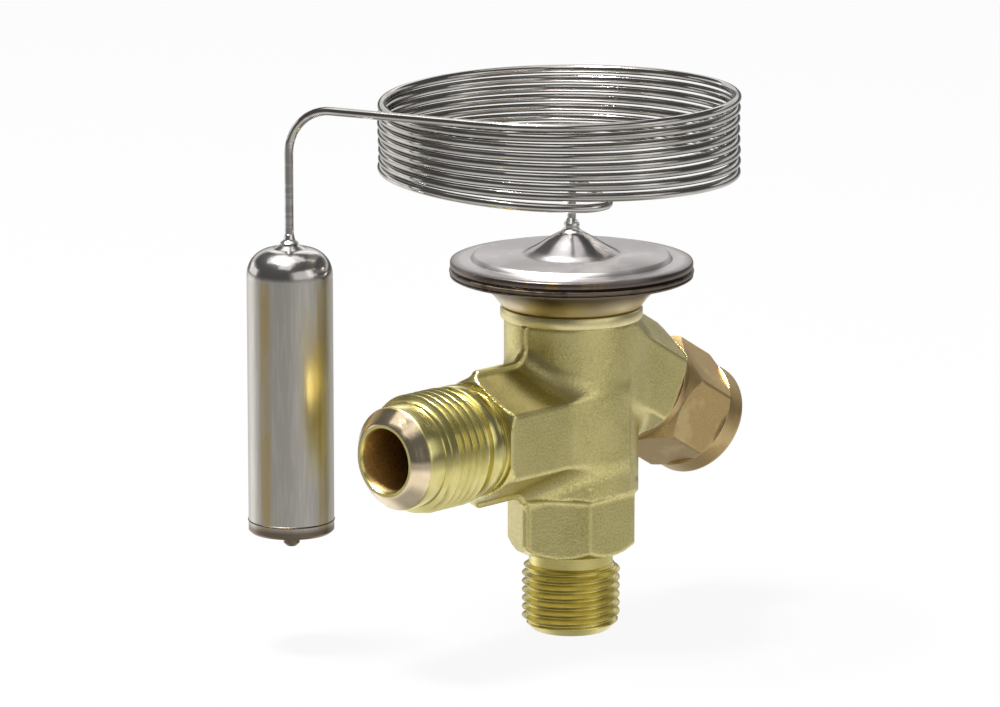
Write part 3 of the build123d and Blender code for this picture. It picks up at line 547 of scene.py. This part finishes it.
# %% Rubber and copper
seal_rubber, tree, shader, place = metal("seal_rubber", 0.6, metallic=0.0)
skin = use(tree, sand_skin, {"Place": place, "Grain": 0.12 * MM})
paint(tree, shader, blend_colours(tree, skin["Tone"], screen(34, 34, 35), screen(48, 47, 46)))
relief(tree, shader, skin["Height"], 0.02 * MM, 0.5)
copper_gasket, tree, shader, place = metal("copper_gasket", 0.3)
dull = stained(tree, place, (300.0, 300.0, 300.0), 0.5)
paint(tree, shader, blend_colours(tree, dull, screen(214, 150, 116), screen(176, 112, 82)))
print("finishes:", len(bpy.data.materials))

# %% [markdown]
# ## Mesh helpers
# Three ways of making a shape are enough for this valve. A turned outline suits whatever came off a
# lathe. A helical grid suits a thread, because its rows can run along the thread's own edges. A tube
# along a path suits the capillary. Each helper works in millimetres and hands a finished piece to the
# frame: named, shaded, riding on its body.

# %% Mesh helpers
SHARP = radians(38)


def make_piece(name, points, faces, material, body, slot, sharp=SHARP):
    """A mesh piece from points in millimetres that rides on a body."""
    mesh = bpy.data.meshes.new(name)
    corners = [tuple(float(c) * MM for c in p) for p in points]
    mesh.from_pydata(corners, [], [tuple(map(int, f)) for f in faces])
    edit = bmesh.new()
    edit.from_mesh(mesh)
    bmesh.ops.remove_doubles(edit, verts=edit.verts, dist=0.0005 * MM)
    bmesh.ops.dissolve_degenerate(edit, edges=edit.edges, dist=0.0004 * MM)
    bmesh.ops.recalc_face_normals(edit, faces=edit.faces)
    edit.to_mesh(mesh)
    edit.free()
    mesh.polygons.foreach_set("use_smooth", [True] * len(mesh.polygons))
    mesh.set_sharp_from_angle(angle=sharp)
    mesh.materials.append(material)
    piece = bpy.data.objects.new(name, mesh)
    bpy.context.scene.collection.objects.link(piece)
    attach(piece, body)
    print(name, len(mesh.polygons), "faces")
    return piece


class Spindle:
    """An axis in space to turn shapes on: an origin, the direction along it and one across it."""

    def __init__(self, origin, along, across):
        self.origin = np.array(origin, float)
        self.along = np.array(along, float)
        self.across = np.array(across, float)
        self.side = np.cross(self.along, self.across)

    def place(self, radius, distance, angle):
        """Points at a radius, a distance along the axis and an angle about it."""
        radius, distance, angle = np.broadcast_arrays(radius, distance, angle)
        ring = np.cos(angle)[..., None] * self.across + np.sin(angle)[..., None] * self.side
        return self.origin + distance[..., None] * self.along + radius[..., None] * ring


ANGLES = 128
valve_axis = Spindle((0, 0, 0), (0, 0, 1), (1, 0, 0))
outlet_axis = Spindle((0, 0, 34.8), (-1, 0, 0), (0, 0, 1))
boss_axis = Spindle((0, 0, 47.0), BOSS_AXIS, (0.5, 0, cos(radians(30))))
bulb_axis = Spindle((-38.7, 25.0, 18.7), (0, 0, 1), (1, 0, 0))


def grid_faces(rows, columns, closed_rows, first=0):
    """Quads of a grid that closes round its columns, and round its rows as well if asked."""
    faces = []
    for row in range(rows if closed_rows else rows - 1):
        above = (row + 1) % rows
        for column in range(columns):
            beside = (column + 1) % columns
            faces.append(tuple(first + r * columns + c for r, c in (
                (row, column), (row, beside), (above, beside), (above, column))))
    return faces


def turned(axis, outline, closed=True, angles=ANGLES, wobble=None):
    """Points and faces of an outline of (radius, distance) pairs, turned about an axis."""
    radius = np.array([p[0] for p in outline], float)[:, None]
    distance = np.array([p[1] for p in outline], float)[:, None]
    angle = np.arange(angles)[None, :] * 2 * pi / angles
    if wobble:
        radius = radius + wobble(angle)
    points = axis.place(radius, distance, angle).reshape(-1, 3)
    return points, grid_faces(len(outline), angles, closed)


# A 60 degree thread: its depth as a share of its pitch, then one turn of it, how far along the turn and
# how deep as a share of the full depth
THREAD_DEPTH = 0.6134
THREAD_FORM = (
    (0.00, 0.12), (0.03, 0.02), (0.06, 0.0), (0.10, 0.02), (0.13, 0.12), (0.30, 0.56),
    (0.46, 0.93), (0.51, 1.0), (0.60, 1.0), (0.65, 0.93), (0.82, 0.56),
)


def thread(axis, envelope, pitch, crest_r, angles=ANGLES):
    """Points and faces of a right-hand thread inside an envelope of (radius, distance) pairs.

    Each row of the grid follows the thread's helix, so its edges stay clean. Rows that run past an end
    are held at the end, where the envelope closes on the plain ring beyond.
    """
    depth = THREAD_DEPTH * pitch
    start, end = envelope[0][1], envelope[-1][1]
    turns = int((end - start) / pitch) + 3
    rows = [
        (start + (turn - 1 + share) * pitch, crest_r - depth * sunk)
        for turn in range(turns) for share, sunk in THREAD_FORM
    ]
    angle = np.arange(angles + 1)[None, :] * 2 * pi / angles
    row_start = np.array([r[0] for r in rows])[:, None]
    row_radius = np.array([r[1] for r in rows])[:, None]
    distance = np.clip(row_start + pitch * angle / (2 * pi), start, end)
    room = np.interp(distance, [e[1] for e in envelope], [e[0] for e in envelope])
    radius = np.minimum(row_radius, room)
    points = axis.place(radius, distance, angle).reshape(-1, 3)
    columns = angles + 1
    faces = [
        (r * columns + c, r * columns + c + 1, (r + 1) * columns + c + 1, (r + 1) * columns + c)
        for r in range(len(rows) - 1) for c in range(angles)
        if np.ptp(distance[[r, r, r + 1, r + 1], [c, c + 1, c, c + 1]]) > 0
    ]
    return points, faces


def joined(*parts):
    """Several lots of points and faces as one."""
    points, faces, count = [], [], 0
    for some_points, some_faces in parts:
        points.append(some_points)
        faces += [tuple(i + count for i in face) for face in some_faces]
        count += len(some_points)
    return np.concatenate(points), faces


# %% [markdown]
# ## Forged body
# The body is a hot forging: bars of hexagon section that run into a round stem, with soft fillets at
# every root and a thin line of flash where the two dies met. Bevels on boolean solids often fail at such
# roots. A distance field doesn't: each form is a formula for how far a point is from its surface, two
# forms join with an exact round fillet, and one pass over a grid lifts the mesh off the field.

# %% Distance fields
def hexagon_bar(points, axis):
    """Distance from a hexagonal bar that starts at an axis's origin, one corner in its across direction."""
    offset = points - axis.origin
    u, v = np.abs(offset @ axis.across), np.abs(offset @ axis.side)
    inner = FLATS / 2 - EDGE_ROUND
    # Fold the section onto the sixth whose flat lies square to v
    fold = 2 * np.minimum(-0.8660254 * u + 0.5 * v, 0)
    u, v = u + 0.8660254 * fold, v - 0.5 * fold
    past = u - np.clip(u, -0.5773503 * inner, 0.5773503 * inner)
    flats = np.hypot(past, v - inner) * np.sign(v - inner) - EDGE_ROUND
    return np.maximum(flats, -distance_along(points, axis))


def round_bar(points, axis, radius):
    """Distance from a cylinder about an axis."""
    offset = points - axis.origin
    return np.hypot(offset @ axis.across, offset @ axis.side) - radius


def distance_along(points, axis):
    """Distance along an axis from its origin."""
    return (points - axis.origin) @ axis.along


def filleted(first, second, fillet_r):
    """Two forms joined with a round fillet in the corner between them."""
    reach = np.hypot(np.maximum(fillet_r - first, 0), np.maximum(fillet_r - second, 0))
    return np.maximum(fillet_r, np.minimum(first, second)) - reach


def turned_corner(points, axis, end, face_r, corner_r, cut):
    """The cone that turns a bar's corners off at its end."""
    away = distance_along(points, axis) - end
    out = round_bar(points, axis, face_r)
    slope = hypot(cut, corner_r - face_r)
    return (out * cut + away * (corner_r - face_r)) / slope


down_axis = Spindle((0, 0, 0), (0, 0, -1), (1, 0, 0))
FLATS, EDGE_ROUND, CORNER_R = 18.4, 0.8, 10.62
block_low, block_high, stem_top, outlet_face, boss_face = 13.3, 24.5, 51.4, 23.6, 18.4
flash_half_width, flash_height = 0.6, 0.7
# What a face gives where it has no say: a distance well inside the metal
WELL_INSIDE = -9


def end_faces(points, axis, end):
    """Distance from a bar's end face and the cone behind it."""
    cone = turned_corner(points, axis, end, 9.5, CORNER_R, 1.0)
    return np.maximum(distance_along(points, axis) - end, cone)


def machined_faces(points):
    """Distance from the faces that were cut after forging: outlet shoulder and block foot."""
    shoulder = end_faces(points, outlet_axis, outlet_face)
    foot_cone = turned_corner(points, down_axis, -block_low, 9.0, CORNER_R, 1.3)
    foot = np.maximum(
        block_low - points[:, 2], np.where(points[:, 2] < block_high, foot_cone, WELL_INSIDE)
    )
    return np.maximum(np.where(points[:, 0] < -12, shoulder, WELL_INSIDE), foot)


def bored(points, axis, radius, start, end):
    """Distance from a hole: negative inside the hole."""
    away = distance_along(points, axis)
    return np.maximum(round_bar(points, axis, radius), np.maximum(start - away, away - end))


def holes(points):
    """Distance from all the holes: the chambers on the valve's axis, the outlet and the boss."""
    return np.minimum.reduce([bored(points, *hole) for hole in (
        (valve_axis, 5.2, 0, 24.0), (valve_axis, 3.6, 24.0, 26.0), (valve_axis, 5.2, 26.0, 40.2),
        (valve_axis, 1.56, 40.2, 42.0), (valve_axis, 7.6, 42.0, 60.0), (valve_axis, 9.65, 49.7, 60.0),
        (outlet_axis, 5.0, 0, 60.0), (boss_axis, 2.56, 4.6, 20.0), (boss_axis, 4.0, 17.9, 30.0),
    )])


def forging(points):
    """Distance from the forged and bored body."""
    z = points[:, 2]
    stem = np.maximum(round_bar(points, valve_axis, 10.85), block_high - 1 - z)
    block = np.maximum(hexagon_bar(points, valve_axis), z - block_high)
    body = filleted(filleted(stem, block, 1.2), hexagon_bar(points, outlet_axis), 3.2)
    flash = np.maximum(np.abs(points[:, 1]) - flash_half_width, body - flash_height)
    body = filleted(body, flash, 0.3)
    body = np.maximum(body, machined_faces(points))
    boss = np.maximum(hexagon_bar(points, boss_axis), end_faces(points, boss_axis, boss_face))
    body = np.maximum(filleted(body, boss, 2.4), z - stem_top)
    return np.maximum(body, -holes(points))


# %% Lift the mesh off the field
def surface_net(field, low, high, step):
    """A mesh of quads on a field's zero surface: one point in each cell that the surface crosses."""
    counts = [int((h - l) / step) + 1 for l, h in zip(low, high)]
    axes = [l + step * np.arange(n) for l, n in zip(low, counts)]
    grid = np.stack(np.meshgrid(*axes, indexing="ij"), -1)
    value = field(grid.reshape(-1, 3)).reshape(counts)
    cells = [n - 1 for n in counts]
    total, hits = np.zeros(cells + [3]), np.zeros(cells)
    crossings = []
    for axis in range(3):
        near = [slice(0, -1) if a == axis else slice(None) for a in range(3)]
        far = [slice(1, None) if a == axis else slice(None) for a in range(3)]
        v0, v1 = value[tuple(near)], value[tuple(far)]
        crosses = (v0 < 0) != (v1 < 0)
        share = np.where(crosses, v0 / np.where(crosses, v0 - v1, 1), 0)
        at = grid[tuple(near)].copy()
        at[..., axis] += share * step
        at *= crosses[..., None]
        others = [a for a in range(3) if a != axis]
        for du in (0, 1):
            for dv in (0, 1):
                window = [slice(None)] * 3
                window[others[0]] = slice(du, cells[others[0]] + du)
                window[others[1]] = slice(dv, cells[others[1]] + dv)
                total += at[tuple(window)]
                hits += crosses[tuple(window)]
        crossings.append((axis, others, crosses, v0 < 0))
    used = hits > 0
    index = np.full(cells, -1)
    index[used] = np.arange(used.sum())
    points = total[used] / hits[used][:, None]
    faces = []
    for axis, (a, b), crosses, inside in crossings:
        where = np.argwhere(crosses)
        keep = (where[:, a] > 0) & (where[:, b] > 0) & (where[:, a] < cells[a]) & (where[:, b] < cells[b])
        where = where[keep]
        around = []
        for da, db in ((1, 1), (0, 1), (0, 0), (1, 0)):
            cell = where.copy()
            cell[:, a] -= da
            cell[:, b] -= db
            around.append(index[tuple(cell.T)])
        quads = np.stack(around, 1)
        flip = inside[tuple(where.T)] != (axis == 1)
        quads[flip] = quads[flip][:, ::-1]
        faces.append(quads)
    return points, np.concatenate(faces)


def settle(field, points, step, rounds=3):
    """Move points along the field's slope until they lie on its zero surface."""
    reach = 0.02
    for _ in range(rounds):
        slope = np.stack([
            (field(points + reach * np.eye(3)[a]) - field(points - reach * np.eye(3)[a])) / (2 * reach)
            for a in range(3)
        ], 1)
        square = np.maximum((slope ** 2).sum(1), 0.2)
        move = -(field(points) / square)[:, None] * slope
        length = np.linalg.norm(move, axis=1)[:, None]
        points = points + move * np.minimum(1, 0.4 * step / np.maximum(length, 1e-9))
    return points


cell = 0.36
body_points, body_faces = surface_net(forging, (-24.5, -12.1, 12.8), (22.1, 12.1, 52.1), cell)
body_points = settle(forging, body_points, cell)
forged_body = make_piece(
    "forged_body", body_points, body_faces, forged_brass, "housing", "forged_brass", radians(50)
)
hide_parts("valve_body")
forged_body.data.materials.append(outlet_brass)
# Faces inside the holes take the darker brass, painted shade of the bores
forged_body.data.materials.append(bore_brass_painted_shade)
centres = np.array([p.center for p in forged_body.data.polygons]) / MM
boss_end = end_faces(centres, boss_axis, boss_face)
on_face = 0.05
cut = (np.abs(machined_faces(centres)) < on_face) | (np.abs(boss_end) < on_face)
bore = np.abs(holes(centres)) < on_face
forged_body.data.polygons.foreach_set("material_index", np.where(bore, 2, cut).astype(np.int32))
print("cut faces:", int(cut.sum()), "bored faces:", int(bore.sum()))

# %% [markdown]
# ## Threads
# The inlet and the outlet carry standard 60 degree flare threads. Each fitting is one mesh: the plain
# parts are turned outlines, the thread is a helical grid between them, and the rings where they meet
# share their points. Modelling the helix, not a stack of rings, makes the crests run out properly.

# %% Inlet and outlet fittings
def bored_out(piece, axis, bore_r):
    """Give the faces inside a fitting's bore their own darker brass, a painted shade for the inside of the
    bore.
    """
    piece.data.materials.append(bore_brass_painted_shade)
    centres = np.array([face.center for face in piece.data.polygons]) / MM
    inside = round_bar(centres, axis, bore_r) < on_face
    piece.data.polygons.foreach_set("material_index", inside.astype(np.int32))


# Sixteen and eighteen turns to the inch
outlet_pitch, inlet_pitch = 1.5875, 1.4111
outlet_thread = thread(
    outlet_axis, [(8.6, 27.9), (9.525, 28.7), (9.525, 36.5), (8.2, 37.3)], outlet_pitch, crest_r=9.525
)
outlet_plain = turned(outlet_axis, [
    (8.6, 27.9), (9.3, 27.7), (9.4, 27.5), (9.4, 25.6), (9.2, 25.3), (8.45, 25.25), (8.45, 23.75),
    (8.75, 23.55), (6.5, 23.5), (5.0, 23.5), (5.0, 42.45), (5.3, 42.85), (5.75, 42.85),
], False)
outlet_nose = turned(outlet_axis, [(8.2, 37.3), (8.2, 40.35), (8.12, 40.58), (8.0, 40.7)], False)
outlet_shape = joined(outlet_plain, outlet_thread, outlet_nose)
outlet_fitting = make_piece("outlet_fitting", *outlet_shape, outlet_brass, "housing", "forged_brass")
bored_out(outlet_fitting, outlet_axis, 5.0)
flare_cone = turned(outlet_axis, [(8.0, 40.7), (7.2, 41.5), (6.4, 42.3), (5.95, 42.75), (5.75, 42.85)], False)
make_piece("flare_cone", *flare_cone, flare_brass, "housing", "forged_brass")

inlet_thread = thread(
    valve_axis, [(6.24, 0.0), (7.9375, 1.7), (7.9375, 10.2), (6.8, 11.0)], inlet_pitch, crest_r=7.9375
)
inlet_plain = turned(valve_axis, [
    (6.8, 11.0), (6.8, 13.0), (7.1, 13.35), (6.0, 13.4), (5.2, 13.4), (5.2, 0.3), (5.5, 0.0), (6.24, 0.0)
], False)
inlet_shape = joined(inlet_thread, inlet_plain)
inlet_fitting = make_piece("inlet_fitting", *inlet_shape, inlet_brass, "housing", "forged_brass")
bored_out(inlet_fitting, valve_axis, 5.2)

# %% Collar and boss neck
collar = turned(valve_axis, [
    (9.65, 51.35), (10.95, 51.35), (11.3, 51.5), (11.45, 51.8), (11.45, 52.9), (11.3, 53.2), (10.95, 53.3),
    (9.65, 53.3),
])
make_piece("collar", *collar, collar_brass, "housing", "forged_brass")
boss_thread = thread(boss_axis, [(6.3, 19.4), (7.0, 19.9), (7.0, 26.2), (6.3, 27.0)], 1.0, 7.0)
boss_plain = turned(boss_axis, [(6.3, 19.4), (6.3, 18.35), (4.0, 18.3), (4.0, 27.0), (6.3, 27.0)], False)
make_piece("boss_neck", *joined(boss_thread, boss_plain), boss_brass, "housing", "forged_brass")

# %% [markdown]
# ## Power element
# The element is two pressed steel covers, welded round their rim with a thin diaphragm between them. Its
# rim shows three thin bands with dark grooves and is browned by the weld. Both covers are turned outlines,
# with the rim's bands drawn in. The weld is a ripple ring in the groove, and a drop of solder closes the
# capillary's hole.

# %% Element covers
lower_outline = turned(valve_axis, [
    (8.8, 49.75), (9.6, 49.75), (9.6, 53.35), (11.0, 53.35), (11.5, 53.8), (12.4, 55.0), (13.7, 56.3),
    (14.9, 57.15), (15.7, 57.46), (18.7, 57.98), (19.2, 58.06), (19.5, 58.22), (19.54, 58.42), (19.3, 58.55),
    (19.3, 58.65), (19.58, 58.78), (19.65, 59.0), (19.58, 59.22), (19.3, 59.35), (17.4, 59.35), (12.2, 55.9),
    (8.8, 54.2),
], angles=160)
lower_cover = make_piece("lower_cover", *lower_outline, skirt_steel, "housing", "element_steel")
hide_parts("element_lower_cover")
upper_outline = turned(valve_axis, [
    (17.4, 59.6), (19.05, 59.6), (19.4, 59.68), (19.5, 59.9), (19.5, 60.4), (19.4, 60.66), (19.1, 60.79),
    (18.7, 60.8), (16.6, 60.8), (16.2, 60.9), (15.8, 61.5), (15.4, 61.65), (8.1, 61.68), (7.7, 61.78),
    (7.2, 62.2), (6.6, 62.5), (5.4, 63.15), (3.9, 64.15), (2.6, 64.9), (1.8, 65.35), (0.75, 65.35),
    (0.75, 61.45), (16.5, 60.45),
], angles=160)
upper_cover = make_piece("upper_cover", *upper_outline, element_steel, "housing", "element_steel")
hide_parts("element_upper_cover")


def ripples(count, height):
    """How a weld's beads lift its surface round the rim."""
    return lambda angle: height * np.abs(np.sin(angle * count / 2))


rim_weld = turned(
    valve_axis, [(18.9, 59.25), (19.25, 59.32), (19.38, 59.47), (19.25, 59.62), (18.9, 59.69)],
    angles=480, wobble=ripples(120, 0.07),
)
make_piece("rim_weld", *rim_weld, weld_bead, "housing", "element_steel")
solder_drop = turned(valve_axis, [
    (0.6, 65.0), (1.95, 65.25), (1.6, 65.5), (1.3, 65.75), (1.2, 66.05), (1.28, 66.4), (1.2, 66.75),
    (0.95, 67.0), (0.8, 67.4), (0.6, 67.6),
], angles=64)
make_piece("solder_drop", *solder_drop, solder, "housing", "tube_steel")

# %% [markdown]
# ## Capillary tube
# The capillary is a stiff steel tube, bent once at the factory, and not a loose cord. It rises from the
# bulb, turns level, winds eight times and comes back to the element through a tight hairpin. Real turns
# aren't evenly spaced: here they lie close together on one side and open up on the other. So the path's
# height is given at four places round each turn, and one round section is swept along the whole path.

# %% Path of the tube
tube_r = 0.7
coil_centre = np.array([-1.4, 1.5])
coil_r, lead_z, hairpin_z, hairpin_r, stub_bend_r, lead_bend_r = 28.35, 87.3, 74.4, 4.8, 3.5, 7.5
bulb_place = bulb_axis.origin[:2]
to_bulb = bulb_place - coil_centre
lead_angle = atan2(to_bulb[1], to_bulb[0]) + acos(coil_r / hypot(*to_bulb))
full_turns = 8 + 32.4 / 360
# Where the coil's height is given: the turn it first passes there, counted from the lead, the height of
# the tube's centre, and how far it drops with each further turn
fan = ((0.06, 87.08, 1.54), (0.31, 87.30, 1.72), (0.58, 86.83, 1.578), (0.90, 85.62, 1.42))
turn_heights = [(-0.18, 87.15)] + [
    (first + turn, high - drop * turn) for turn in range(8) for first, high, drop in fan
] + [(8.09, 74.4), (8.3, 74.4)]


def smooth_between(knots, x):
    """A smooth curve through (x, y) knots, read at x."""
    kx, ky = np.array(knots).T
    slope = np.gradient(ky, kx)
    i = np.clip(np.searchsorted(kx, x) - 1, 0, len(kx) - 2)
    width = kx[i + 1] - kx[i]
    t = (x - kx[i]) / width
    return (
        (2 * t**3 - 3 * t**2 + 1) * ky[i] + (t**3 - 2 * t**2 + t) * width * slope[i]
        + (3 * t**2 - 2 * t**3) * ky[i + 1] + (t**3 - t**2) * width * slope[i + 1]
    )


def level_points(centre, radius, angles, z):
    """Points on a level arc, at one height or at a height each."""
    x, y = centre[0] + radius * np.cos(angles), centre[1] + radius * np.sin(angles)
    return np.stack([x, y, z + 0 * angles], 1)


def rounded_corner(before, corner, after, radius, count=14):
    """Points on the arc that rounds a square corner."""
    back, on = before - corner, after - corner
    back, on = back / np.linalg.norm(back), on / np.linalg.norm(on)
    middle = corner + radius * (back + on)
    swing = np.linspace(0, pi / 2, count)[:, None]
    return middle - radius * (on * np.cos(swing) + back * np.sin(swing))


turns = np.linspace(0, full_turns, 900)
turn_angles = lead_angle + 2 * pi * turns
sway = 0.08 * (np.sin(2.3 * pi * turns) - 1) * np.minimum(1, turns) * np.minimum(1, full_turns - turns)
coil_points = level_points(coil_centre, coil_r + sway, turn_angles, smooth_between(turn_heights, turns))
finish_angle = turn_angles[-1]
lead_end = coil_points[0]
bulb_top = np.array([*bulb_place, 64.5])
lead_corner = np.array([*bulb_place, lead_z])
hairpin_centre = coil_centre + (coil_r - hairpin_r) * np.array([cos(finish_angle), sin(finish_angle)])
home_angle = atan2(-hairpin_centre[1], -hairpin_centre[0]) - acos(hairpin_r / hypot(*hairpin_centre))
sweep_angle = (home_angle - finish_angle) % (2 * pi)
hairpin = level_points(hairpin_centre, hairpin_r, finish_angle + np.linspace(0, sweep_angle, 40), hairpin_z)
stub_corner = np.array([0, 0, hairpin_z])
cone_top = np.array([0, 0, 64.2])
tube_path = np.concatenate([
    [bulb_top],
    bulb_top + np.linspace(0.1, 0.9, 6)[:, None] * (lead_corner - [0, 0, lead_bend_r] - bulb_top),
    rounded_corner(bulb_top, lead_corner, lead_end, lead_bend_r),
    lead_end + np.linspace(0.75, 0.05, 10)[:, None] * (lead_corner - lead_end),
    coil_points,
    hairpin[1:],
    hairpin[-1] + np.linspace(0.1, 0.8, 8)[:, None] * (stub_corner - hairpin[-1]),
    rounded_corner(hairpin[-1], stub_corner, cone_top, stub_bend_r),
    [cone_top],
])
path_length = np.linalg.norm(np.diff(tube_path, axis=0), axis=1).sum()
print("tube path:", len(tube_path), "points,", round(path_length), "mm")


# %% Sweep the tube
def tube_along(path, radius, sides=14):
    """Points and faces of a round tube along a path, closed at both ends."""
    heading = np.gradient(path, axis=0)
    heading /= np.linalg.norm(heading, axis=1)[:, None]
    across = np.cross(heading[0], [0.3, 1, 0.2])
    rings = []
    angle = np.arange(sides) * 2 * pi / sides
    for place_now, ahead in zip(path, heading):
        across = across - ahead * (across @ ahead)
        across /= np.linalg.norm(across)
        side = np.cross(ahead, across)
        rings.append(place_now + radius * (np.cos(angle)[:, None] * across + np.sin(angle)[:, None] * side))
    faces = grid_faces(len(path), sides, False)
    last = (len(path) - 1) * sides
    faces += [tuple(range(sides))[::-1], tuple(last + i for i in range(sides))]
    return np.concatenate(rings), faces


capillary = make_piece("capillary", *tube_along(tube_path, tube_r), tube_steel, "housing", "tube_steel")
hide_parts("capillary_tube")

# %% [markdown]
# ## Sensing bulb
# The bulb is a drawn steel cup with a pressed base welded in. Its finish carries yellow bands of painted
# reflection of the brass body. The imported solids have the right shape, so only their finish is new. Small
# turned pieces add what the solids leave out: the weld line above the base and the braze round the capillary.

# %% Bulb weld and braze
bulb_weld = turned(
    bulb_axis, [(6.7, 1.8), (6.86, 1.88), (6.93, 2.0), (6.86, 2.12), (6.7, 2.2)],
    angles=320, wobble=ripples(80, 0.03),
)
make_piece("bulb_weld", *bulb_weld, weld_bead, "housing", "bulb_steel")
bulb_braze = turned(bulb_axis, [
    (0.6, 46.5), (1.5, 46.9), (1.3, 47.12), (1.05, 47.25), (0.88, 47.5), (0.8, 47.9), (0.74, 48.3),
    (0.6, 48.4),
], angles=48)
make_piece("bulb_braze", *bulb_braze, solder, "housing", "bulb_steel")

# %% [markdown]
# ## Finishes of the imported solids
# Solids whose shape is right are shown as they are. Each only needs its finish, set on its own slots.

# %% Dress the solids
finish_nodes = (
    (inner_steel, "diaphragm diaphragm_pad push_rod valve_cone"),
    (bulb_steel, "bulb_shell bulb_base"),
    (inlet_brass, "orifice_body spring_holder filter_ring spring_seat"),
    (seal_rubber, "orifice_o_ring spindle_packing"),
    (spring_steel, "cone_spring superheat_spring"),
    (screen_steel, "filter_screen"),
    (boss_brass, "thrust_fork setting_spindle packing_washer gland_nut"),
    (copper_gasket, "cap_gasket"),
    (cap_brass, "seal_cap"),
    (forged_brass, "valve_body"),
    (skirt_steel, "element_lower_cover"),
    (element_steel, "element_upper_cover"),
    (tube_steel, "capillary_tube"),
)
dressed = [(node_name, finish) for finish, names in finish_nodes for node_name in names.split()]
for node_name, finish in dressed:
    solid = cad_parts[node_name]
    if not solid.material_slots:
        solid.data.materials.append(finish)
    for material_slot in solid.material_slots:
        material_slot.material = finish
print("dressed solids:", len(dressed), "of", len(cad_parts))
